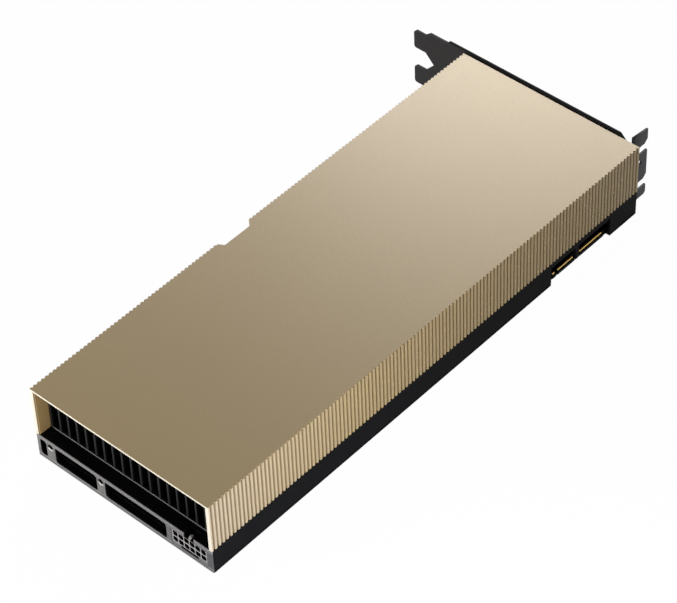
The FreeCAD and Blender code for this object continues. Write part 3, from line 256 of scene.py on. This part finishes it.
def blasted_metal(name, colour, roughness, cut):
    """Bead-blasted anodised aluminium: fine grain and soft patches, with painted light and shade on the
    flutes and a painted highlight on the tail rim.
    """
    finish = Finish(name, 0.1, roughness, Specular_IOR_Level=0.42, Coat_Weight=0.35, Coat_Roughness=0.28)
    grain = finish.noise(1300)
    coat = finish.varied(finish.noise(14), colour, 0.97, 1.03)
    coat = finish.mix(finish.ramp(grain, 0, 0.7), coat, shade(colour, 0.86))
    # Painted shade in the grooves and hollows of the flutes, darker and browner towards the far end; painted
    # light makes the crests whiter near the tail and a little darker further on
    groove = finish.within("Y", SHROUD_LOW.y + RIB_DEPTH / 2, SHROUD_HIGH.y - RIB_DEPTH / 2, RIB_DEPTH / 3)
    floor = finish.mix(finish.past("X", 0, GROOVE_BAND), shade(colour, 0.36), toned(colour, GROOVE_SHADE_TONE))
    crest = finish.mix(finish.past("X", 0, CREST_BAND), toned(colour, CREST_LIGHT_TONE), shade(colour, 0.88))
    flutes = finish.mix(groove, crest, floor)
    # Painted shade: the shroud's inner wall darker and browner
    inside = finish.within("Y", SHROUD_LOW.y + WALL_SHEET, SHROUD_HIGH.y - WALL_SHEET)
    flutes = finish.mix(inside, flutes, toned(colour, INNER_SHADE_TONE))
    jog_end = SHROUD_HIGH.x - JOG_REACH
    jog = finish.both(finish.within("X", jog_end - JOG_LENGTH, jog_end), finish.past("Y", 0, FAR_HALF_BAND))
    below_top = finish.past("Z", SHROUD_HIGH.z, TOP_EDGE_BAND)
    # The flutes' painted light and shade cover the sides below the top edge, except along the jog
    coat = finish.mix(finish.both(below_top, finish.ramp(jog, 1, 0, 0, 1)), coat, flutes)
    # Painted highlight: the pale rim colour on the shroud's tail rim
    finish.colour(finish.mix(finish.past("X", SHROUD_LOW.x, RIM_HIGHLIGHT_BAND), cut, coat))
    finish.rough(grain, roughness - 0.03, roughness + 0.05)
    finish.relief(grain, 0.00002, 0.6)
    return finish.material


def cast_coat(name, colour, roughness, gloss=0.8, tail=None):
    """Satin coat sprayed on a casting: pebbled and faintly mottled; a tail colour paints light on the tail
    wall.
    """
    finish = Finish(name, 0.0, roughness, Specular_IOR_Level=gloss)
    coat = finish.varied(finish.noise(60, 4), colour, 0.85, 1.15)
    if tail:
        # Painted light on the tail wall: a lighter, mottled grey face, darker towards −Y as painted shade,
        # with painted highlights below the windows' foot and above their top; the seam band keeps the coat's
        # own dark colour
        wall = finish.varied(finish.noise(1700), tail, 0.72, 1.28)
        wall = finish.mix(finish.past("Y", 0, TAIL_SHADE_BAND), shade(tail, 0.52), wall)
        wall = finish.mix(finish.past("Z", WINDOW_FLOOR, SILL_HIGHLIGHT_BAND), shade(tail, 1.35), wall)
        wall = finish.mix(finish.past("Z", WINDOW_CEILING, RAIL_HIGHLIGHT_BAND), wall, shade(tail, 1.15))
        wall = finish.mix(finish.within("Z", SEAM_FLOOR, SEAM_FLOOR + SEAM_HEIGHT, SEAM_BLUR), wall, colour)
        coat = finish.mix(finish.past("X", SHROUD_LOW.x, TAIL_LIGHT_BAND), wall, coat)
    finish.colour(coat)
    finish.rough(finish.noise(900, 2), roughness - 0.06, roughness + 0.08)
    finish.relief(finish.cells(2200), 0.00001, 0.5)
    return finish.material


def drawn_metal(name, colour, roughness, stretch=(1, 30, 30), metallic=1.0):
    """Rolled, drawn or polished metal: fine lines along one axis."""
    finish = Finish(name, metallic, roughness)
    lines = finish.noise(500, 4, stretch)
    finish.colour(finish.varied(lines, colour, 0.85, 1.15))
    finish.rough(lines, roughness - 0.05, roughness + 0.08)
    finish.relief(lines, 0.000004, 0.4)
    return finish.material


def turned_bore(name, colour, cut):
    """Turned insert: painted shade darkens the bore, and a painted highlight brightens the lower part of its
    face and countersink; the upper part keeps the turned colour.
    """
    finish = Finish(name, 0.0, 0.3, Specular_IOR_Level=0.2)
    lines = finish.noise(500, 4, (1, 12, 12))
    face = finish.varied(lines, colour, 0.85, 1.15)
    # Painted highlight below the bore's middle
    face = finish.mix(finish.past("Z", INSERT_HEIGHT, BORE_LIGHT_BAND), cut, face)
    # Painted shade deeper in the bore
    finish.colour(finish.mix(finish.past("X", INSERT_LOW.x, BORE_SHADE_BAND), face, shade(colour, 0.02)))
    finish.relief(lines, 0.000004, 0.4)
    return finish.material


def moulded(name, colour, roughness, grain=1500, gloss=0.3):
    """Moulded plastic, paste or rubber with a fine spark-eroded texture."""
    finish = Finish(name, 0.0, roughness, Specular_IOR_Level=gloss)
    texture = finish.noise(grain)
    finish.colour(finish.varied(finish.noise(90), colour, 0.88, 1.12))
    finish.rough(texture, roughness - 0.05, roughness + 0.07)
    finish.relief(texture, 0.000008, 0.5)
    return finish.material


def bracket_sheet(name, colour):
    """Dark plated steel sheet with fine rolling lines; painted light makes the flange lighter, and painted
    shade darkens the top edge.
    """
    finish = Finish(name, 0.3, 0.5, Specular_IOR_Level=0.06)
    lines = finish.noise(500, 4, (8, 8, 1))
    flat = finish.varied(lines, colour, 0.8, 1.2)
    # Painted light on the flange
    flat = finish.mix(finish.past("X", BRACKET_HIGH.x - FLANGE_DEPTH, FLANGE_LIGHT_BAND), flat, shade(colour, 2.4))
    # Painted shade: the top edge near black
    finish.colour(finish.mix(finish.past("Z", BRACKET_HIGH.z, BRACKET_EDGE_SHADE_BAND), flat, shade(colour, 0.06)))
    finish.rough(lines, 0.45, 0.6)
    finish.relief(lines, 0.000004, 0.4)
    return finish.material


def coated_sheet(name, colour, stretch):
    """Coated heatsink sheet with fine rolling lines: its finish, still without a colour, and its coat."""
    finish = Finish(name, 0.3, 0.5, Specular_IOR_Level=0.1)
    lines = finish.noise(300, 4, stretch)
    finish.rough(lines, 0.42, 0.58)
    finish.relief(lines, 0.000006, 0.4)
    return finish, finish.varied(lines, colour, 0.8, 1.2)


def fin_sheet(name, colour, edge):
    """Fins whose front edges are a lighter colour."""
    finish, coat = coated_sheet(name, colour, (1, 1, 8))
    finish.colour(finish.mix(finish.past("X", FINS_LOW.x, FIN_EDGE_BAND), edge, coat))
    return finish.material


def base_sheet(name, colour, edge):
    """Heatsink base with a painted highlight: a thin bright line along the top of its front edge."""
    finish, coat = coated_sheet(name, colour, (8, 1, 1))
    # Painted highlight along the top of the front edge
    line = finish.both(finish.past("X", BASE_LOW.x, BASE_FRONT_BAND),
                       finish.past("Z", BASE_HIGH.z, BASE_TOP_BAND))
    finish.colour(finish.mix(line, coat, edge))
    return finish.material


def solder_mask(name, colour, track):
    """Circuit board under solder mask: faint copper tracks over a glass weave."""
    finish = Finish(name, 0.0, 0.38, Specular_IOR_Level=0.03)
    tracks = finish.ramp(finish.cells(420, "DISTANCE_TO_EDGE", (1, 0.35, 1)), 1, 0, 0.05, 0.09)
    weave = finish.noise(3000, 1, (1, 4, 1))
    finish.colour(finish.mix(tracks, finish.varied(weave, colour, 0.85, 1.1), track))
    finish.rough(weave, 0.32, 0.46)
    finish.relief(tracks, 0.00002, 0.5)
    return finish.material


def header_moulding(name, colour, painted_web_highlight):
    """Power header: a grey face that is painted light on a black moulding, painted highlights on the thin
    webs between the cavities and on the latch, and painted shade in the cavities.
    """
    finish = Finish(name, 0.0, 0.5, Specular_IOR_Level=0.15)
    texture = finish.noise(1500)
    skin = finish.varied(texture, colour, 0.8, 1.2)
    # Painted highlight: the face inside the margins takes the light web colour
    grid = finish.both(finish.within("Y", HEADER_LOW.y + HEADER_SIDE, HEADER_HIGH.y - HEADER_SIDE),
                       finish.within("Z", HEADER_LOW.z + HEADER_SILL, HEADER_HIGH.z - HEADER_TOP))
    # Painted shade: behind the face the cavities are near black
    face = finish.mix(finish.past("X", HEADER_LOW.x, HEADER_FACE_BAND), shade(colour, 0.02),
                      finish.mix(grid, skin, painted_web_highlight))
    # Painted highlight on the latch at the top
    finish.colour(finish.mix(finish.past("Z", HEADER_HIGH.z, HEADER_LATCH_BAND), face, painted_web_highlight))
    finish.rough(texture, 0.45, 0.57)
    finish.relief(texture, 0.000008, 0.5)
    return finish.material


def plated(name, colour):
    """Hard gold plating with fine rub marks."""
    finish = Finish(name, 1.0, 0.3)
    marks = finish.noise(700, 3, (25, 1, 25))
    finish.colour(finish.varied(marks, colour, 0.9, 1.08))
    finish.rough(marks, 0.2, 0.34)
    finish.relief(marks, 0.000003, 0.3)
    return finish.material


# Mesh helpers

def object_from(mesh_data, name, finish):
    """Make the finished mesh an object that rides on the card."""
    mesh = bpy.data.meshes.new(name)
    mesh_data.to_mesh(mesh)
    mesh_data.free()
    piece = bpy.data.objects.new(name, mesh)
    bpy.context.scene.collection.objects.link(piece)
    mesh.materials.append(finish)
    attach(piece, "root")
    return piece


def bevelled(mesh_data, edges, width, segments, clamp):
    """Round or chamfer these edges."""
    bmesh.ops.bevel(mesh_data, geom=edges, offset=width, offset_type="OFFSET", segments=segments, profile=0.5,
                    affect="EDGES", clamp_overlap=clamp, material=-1)


def softened(node, name, width, finish, segments=2, cut=None, cut_width=0.0):
    """A copy of a CAD solid with rounded sharp edges; edges that pass the cut test are chamfered first."""
    mesh_data = bmesh.new()
    mesh_data.from_mesh(NODES[node].data)
    bmesh.ops.remove_doubles(mesh_data, verts=mesh_data.verts, dist=MERGE_REACH)
    bmesh.ops.dissolve_limit(mesh_data, angle_limit=FLAT_ANGLE, use_dissolve_boundaries=False,
                             verts=mesh_data.verts, edges=mesh_data.edges, delimit=set())
    if cut:
        edges = [edge for edge in mesh_data.edges if all(cut(vert.co) for vert in edge.verts)]
        bevelled(mesh_data, edges, cut_width, 1, False)
    edges = [edge for edge in mesh_data.edges
             if len(edge.link_faces) == 2 and edge.calc_face_angle(0) > SHARP_ANGLE]
    bevelled(mesh_data, edges, width, segments, True)
    bmesh.ops.triangulate(mesh_data, faces=[face for face in mesh_data.faces if len(face.verts) > 4])
    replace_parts(object_from(mesh_data, name, finish), node)


def mouth_edge(place):
    """Whether a point lies on the inner outline of the shroud's tail mouth."""
    return place.x < SHROUD_LOW.x + FACE_REACH and abs(place.y) < MOUTH_Y and place.z < MOUTH_Z


def bore_edge(place):
    """Whether a point lies on the front edge of an insert's bore."""
    return place.x < INSERT_LOW.x + FACE_REACH and any(
        (Vector((place.y, place.z)) - centre).length < INSERT_BORE for centre in INSERT_CENTRES)


def crowned_contacts(finish):
    """Crowned spring contacts on the bridge edge, one over each of the CAD's flat ones."""
    low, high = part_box("bridge_contacts")
    reach = high.y - low.y
    mesh_data = bmesh.new()
    for row_reach, count in BRIDGE_ROWS:
        for step in range(count):
            start = SHROUD_HIGH.x - row_reach + step * BRIDGE_PITCH
            corners = [mesh_data.verts.new((start, low.y + share * reach, low.z + rise))
                       for share, rise in BRIDGE_CROWN]
            end = bmesh.ops.extrude_face_region(mesh_data, geom=[mesh_data.faces.new(corners)])
            moved = [item for item in end["geom"] if isinstance(item, bmesh.types.BMVert)]
            bmesh.ops.translate(mesh_data, verts=moved, vec=(BRIDGE_FINGER, 0, 0))
    bmesh.ops.recalc_face_normals(mesh_data, faces=mesh_data.faces)
    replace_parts(object_from(mesh_data, "crowned_contacts", finish), "bridge_contacts")


def dress(finish, *nodes):
    """Give CAD nodes a finish; their meshes stay as they are."""
    for node in nodes:
        slots = NODES[node].data.materials
        slots.clear()
        slots.append(finish)


# Values that a user would change

def colour_property(name, description, default):
    """A colour swatch."""
    return bpy.props.FloatVectorProperty(name=name, description=description, default=default, subtype="COLOR",
                                         min=0.0, max=1.0, size=3)


def length_property(name, description, default):
    """A length in metres."""
    return bpy.props.FloatProperty(name=name, description=description, default=default, unit="LENGTH",
                                   subtype="DISTANCE", min=0.0, precision=5)


class CardSizes(bpy.types.PropertyGroup):
    """Sizes of the card's fine detail."""
    rim_round: length_property("Rim round", "Rounding of the shroud's rims and ribs", 0.0001)
    mouth_cut: length_property("Mouth cut", "Chamfer inside the shroud's tail mouth", 0.0006)
    bore_cut: length_property("Bore cut", "Countersink of the inserts' bores", 0.00028)
    cast_round: length_property("Casting round", "Rounding of the frame's edges", 0.00018)
    sheet_round: length_property("Sheet round", "Rounding of the bracket's and backplate's edges", 0.00015)
    mould_round: length_property("Moulding round", "Rounding of the plastic header's edges", 0.00012)
    floor_size: length_property("Floor size", "Width of the floor", 12.0)
    floor_gap: length_property("Floor gap", "Drop of the floor below the backplate", 0.0001)
    camera_lens: bpy.props.FloatProperty(name="Camera lens", description="Focal length of the camera",
                                         default=157.7475, unit="CAMERA", min=1.0)


class CardColours(bpy.types.PropertyGroup):
    """Colours of the card's finishes."""
    champagne: colour_property("Champagne", "Anodised shroud", (0.41, 0.286, 0.116))
    # Painted highlight on the shroud's tail rim
    rim: colour_property("Cut rim", "Brightly cut rim of the shroud's tail end", (0.60, 0.54, 0.43))
    casting: colour_property("Casting", "Sprayed frame", (0.003, 0.0029, 0.003))
    # Painted light: the tail wall's grey; its coat is as dark as the rest of the casting
    tail: colour_property("Tail wall", "Sprayed tail wall of the frame", (0.125, 0.12, 0.116))
    backplate: colour_property("Backplate", "Sprayed backplate", (0.008, 0.0078, 0.0078))
    fin: colour_property("Fins", "Coated fins", (0.006, 0.006, 0.0065))
    fin_edge: colour_property("Fin edges", "Sheared edges of the fins", (0.022, 0.022, 0.022))
    # Painted highlight on the base's front edge
    painted_base_edge_highlight: colour_property("Base edge", "Cut front edge of the heatsink base", (0.20, 0.20, 0.20))
    bracket: colour_property("Bracket", "Plated steel bracket", (0.045, 0.043, 0.043))
    board: colour_property("Board", "Solder mask", (0.0012, 0.0015, 0.0013))
    track: colour_property("Tracks", "Copper tracks under the mask", (0.002, 0.0026, 0.0022))
    gold: colour_property("Gold", "Plated contacts", (1.0, 0.64, 0.21))
    # Painted light: the header's grey face on a black moulding; the divider takes 5% of it as its own dark
    # colour
    header: colour_property("Header", "Moulded power header", (0.12, 0.115, 0.11))
    # Painted highlight on the header's webs and latch
    painted_web_highlight: colour_property("Header webs", "Thin webs between the header's cavities", (0.24, 0.23, 0.22))
    steel: colour_property("Steel", "Plain sheet steel", (0.48, 0.48, 0.49))
    screw: colour_property("Screws", "Blackened screws", (0.07, 0.07, 0.07))
    insert: colour_property("Inserts", "Turned inserts", (0.06, 0.06, 0.065))
    # Painted highlight on the lower side of the inserts' bores
    painted_bore_highlight: colour_property("Countersinks", "Lit lower side of the inserts' bores", (0.55, 0.55, 0.54))
    laminate: colour_property("Laminate", "Substrate of the processor", (0.03, 0.10, 0.045))
    silicon: colour_property("Silicon", "Polished processor and memory", (0.10, 0.11, 0.13))
    grease: colour_property("Grease", "Thermal grease", (0.52, 0.53, 0.54))
    pad: colour_property("Pads", "Thermal gap pads", (0.33, 0.42, 0.50))
    chip: colour_property("Chips", "Moulded chips", (0.022, 0.022, 0.023))
    ferrite: colour_property("Ferrite", "Pressed bodies of the inductors", (0.13, 0.13, 0.14))
    can: colour_property("Cans", "Drawn cans of the input capacitors", (0.62, 0.62, 0.64))
    capacitor: colour_property("Capacitors", "Moulded capacitors", (0.14, 0.09, 0.045))
    fuse: colour_property("Fuse", "Glazed ceramic fuse", (0.72, 0.70, 0.64))


# Operators, one for each group of pieces

class CARD_OT_shroud(bpy.types.Operator):
    """Build the fluted shroud with rounded ribs and rims."""
    bl_idname = "card.shroud"
    bl_label = "Fluted shroud"

    def execute(self, context):
        sizes, colours = context.scene.card_sizes, context.scene.card_colours
        finish = blasted_metal("champagne_anodised", colours.champagne, 0.3, colours.rim)
        softened("shroud", "fluted_shroud", sizes.rim_round, finish,
                 cut=mouth_edge, cut_width=sizes.mouth_cut)
        return {"FINISHED"}


class CARD_OT_frame(bpy.types.Operator):
    """Build the cast frame and its threaded inserts."""
    bl_idname = "card.frame"
    bl_label = "Cast frame"

    def execute(self, context):
        sizes, colours = context.scene.card_sizes, context.scene.card_colours
        # The tail colour paints light on the frame's tail wall
        finish = cast_coat("satin_casting", colours.casting, 0.42, 0.03, colours.tail)
        softened("mid_frame", "cast_frame", sizes.cast_round, finish)
        finish = turned_bore("turned_insert", colours.insert, colours.painted_bore_highlight)
        softened("tail_inserts", "turned_inserts", sizes.mould_round / 2, finish, 1,
                 cut=bore_edge, cut_width=sizes.bore_cut)
        return {"FINISHED"}


class CARD_OT_backplate(bpy.types.Operator):
    """Build the backplate with its softened rim."""
    bl_idname = "card.backplate"
    bl_label = "Backplate"

    def execute(self, context):
        sizes, colours = context.scene.card_sizes, context.scene.card_colours
        # The tail colour paints light on the backplate's tail edge
        finish = cast_coat("satin_backplate", colours.backplate, 0.48, 0.03, colours.tail)
        softened("backplate", "stamped_backplate", sizes.sheet_round, finish)
        return {"FINISHED"}


class CARD_OT_heatsink(bpy.types.Operator):
    """Finish the fins and their base."""
    bl_idname = "card.heatsink"
    bl_label = "Heatsink"

    def execute(self, context):
        colours = context.scene.card_colours
        dress(fin_sheet("coated_fin_sheet", colours.fin, colours.fin_edge), "fins")
        dress(base_sheet("coated_base", colours.fin, colours.painted_base_edge_highlight), "heatsink_base")
        return {"FINISHED"}


class CARD_OT_bracket(bpy.types.Operator):
    """Build the folded slot bracket."""
    bl_idname = "card.bracket"
    bl_label = "Slot bracket"

    def execute(self, context):
        sizes, colours = context.scene.card_sizes, context.scene.card_colours
        finish = bracket_sheet("plated_bracket", colours.bracket)
        softened("io_bracket", "folded_bracket", sizes.sheet_round, finish)
        return {"FINISHED"}


class CARD_OT_header(bpy.types.Operator):
    """Build the power header, and finish its contacts and the post between the bridge mouths."""
    bl_idname = "card.header"
    bl_label = "Power header"

    def execute(self, context):
        sizes, colours = context.scene.card_sizes, context.scene.card_colours
        finish = header_moulding("moulded_header", colours.header, colours.painted_web_highlight)
        softened("power_housing", "moulded_header", sizes.mould_round, finish, 1)
        dress(moulded("moulded_divider", shade(colours.header, 0.05), 0.5, gloss=0.03), "bridge_divider")
        dress(plated("plated_pins", colours.gold), "power_pins", "sense_pins")
        return {"FINISHED"}


class CARD_OT_board(bpy.types.Operator):
    """Finish the circuit board and its gold contacts."""
    bl_idname = "card.board"
    bl_label = "Circuit board"

    def execute(self, context):
        colours = context.scene.card_colours
        dress(solder_mask("solder_mask", colours.board, colours.track), "circuit_board")
        gold = plated("plated_contacts", colours.gold)
        dress(gold, "edge_contacts_front", "edge_contacts_back")
        crowned_contacts(gold)
        return {"FINISHED"}


class CARD_OT_screws(bpy.types.Operator):
    """Finish the four sets of screws."""
    bl_idname = "card.screws"
    bl_label = "Screws"

    def execute(self, context):
        finish = drawn_metal("black_oxide", context.scene.card_colours.screw, 0.36, (1, 1, 20))
        dress(finish, "backplate_screws", "heatsink_screws", "shroud_screws", "bracket_screws")
        return {"FINISHED"}


class CARD_OT_inner_parts(bpy.types.Operator):
    """Finish the processor, regulator and small parts inside the card."""
    bl_idname = "card.inner_parts"
    bl_label = "Inner parts"

    def execute(self, context):
        colours = context.scene.card_colours
        steel = drawn_metal("plain_sheet_steel", colours.steel, 0.34)
        dress(steel, "clamp_plate", "package_frame", "clock_crystal")
        dress(moulded("package_laminate", colours.laminate, 0.4), "gpu_substrate")
        silicon = drawn_metal("polished_silicon", colours.silicon, 0.12, (1, 1, 1), 0.7)
        dress(silicon, "gpu_die", "memory_stacks")
        dress(moulded("thermal_grease", colours.grease, 0.55, 400), "thermal_paste")
        dress(moulded("gap_pad", colours.pad, 0.8, 700), "stage_pads", "backplate_pads")
        chip = moulded("moulded_chip", colours.chip, 0.5)
        dress(chip, "power_stages", "board_controller", "flash_chip")
        dress(cast_coat("pressed_ferrite", colours.ferrite, 0.6), "inductors")
        dress(drawn_metal("drawn_can", colours.can, 0.28, (1, 1, 6)), "input_capacitors")
        dress(moulded("capacitor_case", colours.capacitor, 0.45), "bulk_capacitors", "rear_capacitors")
        dress(moulded("fuse_ceramic", colours.fuse, 0.3), "inlet_fuse")
        return {"FINISHED"}


# Stage helpers

def soft_lamp(name, place, target, width, height, power, tint=(1, 1, 1), gloss=True):
    """A soft rectangular studio lamp aimed at a point; without gloss, no reflection shows it."""
    data = bpy.data.lights.new(name, "AREA")
    data.shape = "RECTANGLE"
    data.size, data.size_y = width, height
    data.energy = power
    data.color = tint
    lamp = bpy.data.objects.new(name, data)
    lamp.visible_glossy = gloss
    bpy.context.scene.collection.objects.link(lamp)
    direction = Vector(target) - Vector(place)
    lamp.matrix_world = Matrix.Translation(place) @ direction.to_track_quat("-Z", "Y").to_matrix().to_4x4()


def white_for_sight(tree, lit, glow, share, gloss_share):
    """The camera sees the glow by one share, gloss and glass by another; all else sees the lit shader."""
    path = tree.nodes.new("ShaderNodeLightPath")
    seen = None
    for ray, part in (("Is Camera Ray", share), ("Is Glossy Ray", gloss_share),
                      ("Is Transmission Ray", gloss_share)):
        scaled = tree.nodes.new("ShaderNodeMath")
        scaled.operation = "MULTIPLY_ADD"
        scaled.inputs[1].default_value = part
        scaled.inputs[2].default_value = 0.0
        tree.links.new(path.outputs[ray], scaled.inputs[0])
        if seen:
            tree.links.new(seen, scaled.inputs[2])
        seen = scaled.outputs[0]
    blend = tree.nodes.new("ShaderNodeMixShader")
    tree.links.new(seen, blend.inputs["Fac"])
    tree.links.new(lit, blend.inputs[1])
    tree.links.new(glow, blend.inputs[2])
    return blend.outputs["Shader"]


def floor_finish():
    """Pale floor: near white to the camera, with the card's soft shadow, and clear from below."""
    finish = Finish("pale_floor", 0.0, 0.9)
    finish.colour(finish.mix(finish.ramp(finish.noise(3), 0, 1), FLOOR_DARK, FLOOR_LIGHT))
    glow = finish.add("ShaderNodeEmission", Color=WHITE, Strength=1.0)
    above = white_for_sight(finish.tree, finish.shader.outputs["BSDF"], glow.outputs["Emission"],
                            FLOOR_SEEN, FLOOR_IN_GLOSS)
    sheet = finish.add("ShaderNodeMixShader")
    finish.join(finish.add("ShaderNodeNewGeometry").outputs["Backfacing"], sheet.inputs["Fac"])
    finish.join(above, sheet.inputs[1])
    finish.join(finish.add("ShaderNodeBsdfTransparent", Color=WHITE).outputs["BSDF"], sheet.inputs[2])
    finish.join(sheet.outputs["Shader"], finish.tree.nodes["Material Output"].inputs["Surface"])
    return finish.material


def pale_floor(size, gap):
    """The floor that the card lies on."""
    mesh_data = bmesh.new()
    bmesh.ops.create_grid(mesh_data, x_segments=2, y_segments=2, size=size / 2)
    mesh = bpy.data.meshes.new("floor")
    mesh_data.to_mesh(mesh)
    mesh_data.free()
    floor = bpy.data.objects.new("floor", mesh)
    floor.location.z = -gap
    bpy.context.scene.collection.objects.link(floor)
    mesh.materials.append(floor_finish())


def studio_world():
    """A faint even light on the card, and a white backdrop for the camera, gloss and glass."""
    world = bpy.data.worlds.new("studio")
    world.use_nodes = True
    tree = world.node_tree
    background = tree.nodes["Background"]
    background.inputs["Color"].default_value = WHITE
    background.inputs["Strength"].default_value = SKY_STRENGTH
    backdrop = tree.nodes.new("ShaderNodeBackground")
    backdrop.inputs["Strength"].default_value = 1.0
    sky = white_for_sight(tree, background.outputs["Background"], backdrop.outputs["Background"], 1.0, 1.0)
    tree.links.new(sky, tree.nodes["World Output"].inputs["Surface"])
    return world


class CARD_OT_stage(bpy.types.Operator):
    """Set up the pale floor, the soft studio light and the camera."""
    bl_idname = "card.stage"
    bl_label = "Stage"

    def execute(self, context):
        sizes = context.scene.card_sizes
        pale_floor(sizes.floor_size, sizes.floor_gap)
        context.scene.world = studio_world()
        soft_lamp("tail_lamp", (-0.500, 0.165, 0.090), (-0.13, 0.03, 0.02), 0.2, 0.12, 2.6, gloss=False)
        soft_lamp("far_lamp", (1.078, 0.700, 0.803), CARD_MIDDLE, 0.5, 0.5, 8.0)
        soft_lamp("side_lamp", (0.815, 1.044, 0.734), CARD_MIDDLE, 0.5, 0.5, 3.0)
        soft_lamp("rib_lamp", (-0.150, -0.243, 0.040), (-0.12, -0.05, 0.02), 0.1, 0.06, 0.84,
                  tint=(0.78, 0.84, 1.0), gloss=False)

        data = bpy.data.cameras.new("camera")
        data.lens = sizes.camera_lens
        camera = bpy.data.objects.new("camera", data)
        context.scene.collection.objects.link(camera)
        camera.location = CAMERA_PLACE
        camera.rotation_euler = [math.radians(angle) for angle in CAMERA_TURN]
        context.scene.camera = camera
        context.scene.view_settings.view_transform = "Standard"
        return {"FINISHED"}


class CARD_PT_panel(bpy.types.Panel):
    """The card's pieces and values in the sidebar."""
    bl_idname = "CARD_PT_panel"
    bl_label = "Accelerator card"
    bl_space_type = "VIEW_3D"
    bl_region_type = "UI"
    bl_category = "Card"

    def draw(self, context):
        for operator in OPERATORS:
            self.layout.operator(operator.bl_idname)
        for group in (context.scene.card_sizes, context.scene.card_colours):
            box = self.layout.box()
            for name in group.__annotations__:
                box.prop(group, name)


# In the order in which main calls them
OPERATORS = (CARD_OT_stage, CARD_OT_shroud, CARD_OT_frame, CARD_OT_backplate, CARD_OT_heatsink,
             CARD_OT_bracket, CARD_OT_header, CARD_OT_board, CARD_OT_screws, CARD_OT_inner_parts)
CLASSES = (CardSizes, CardColours, *OPERATORS, CARD_PT_panel)


def register():
    """Add the classes and their values to Blender."""
    for item in CLASSES:
        bpy.utils.register_class(item)
    bpy.types.Scene.card_sizes = bpy.props.PointerProperty(type=CardSizes)
    bpy.types.Scene.card_colours = bpy.props.PointerProperty(type=CardColours)


def unregister():
    """Take them out again."""
    del bpy.types.Scene.card_colours
    del bpy.types.Scene.card_sizes
    for item in reversed(CLASSES):
        bpy.utils.unregister_class(item)


def main():
    """Build everything in order."""
    register()
    for operator in OPERATORS:
        getattr(bpy.ops.card, operator.bl_idname.removeprefix("card."))()


if __name__ == "__main__":
    main()
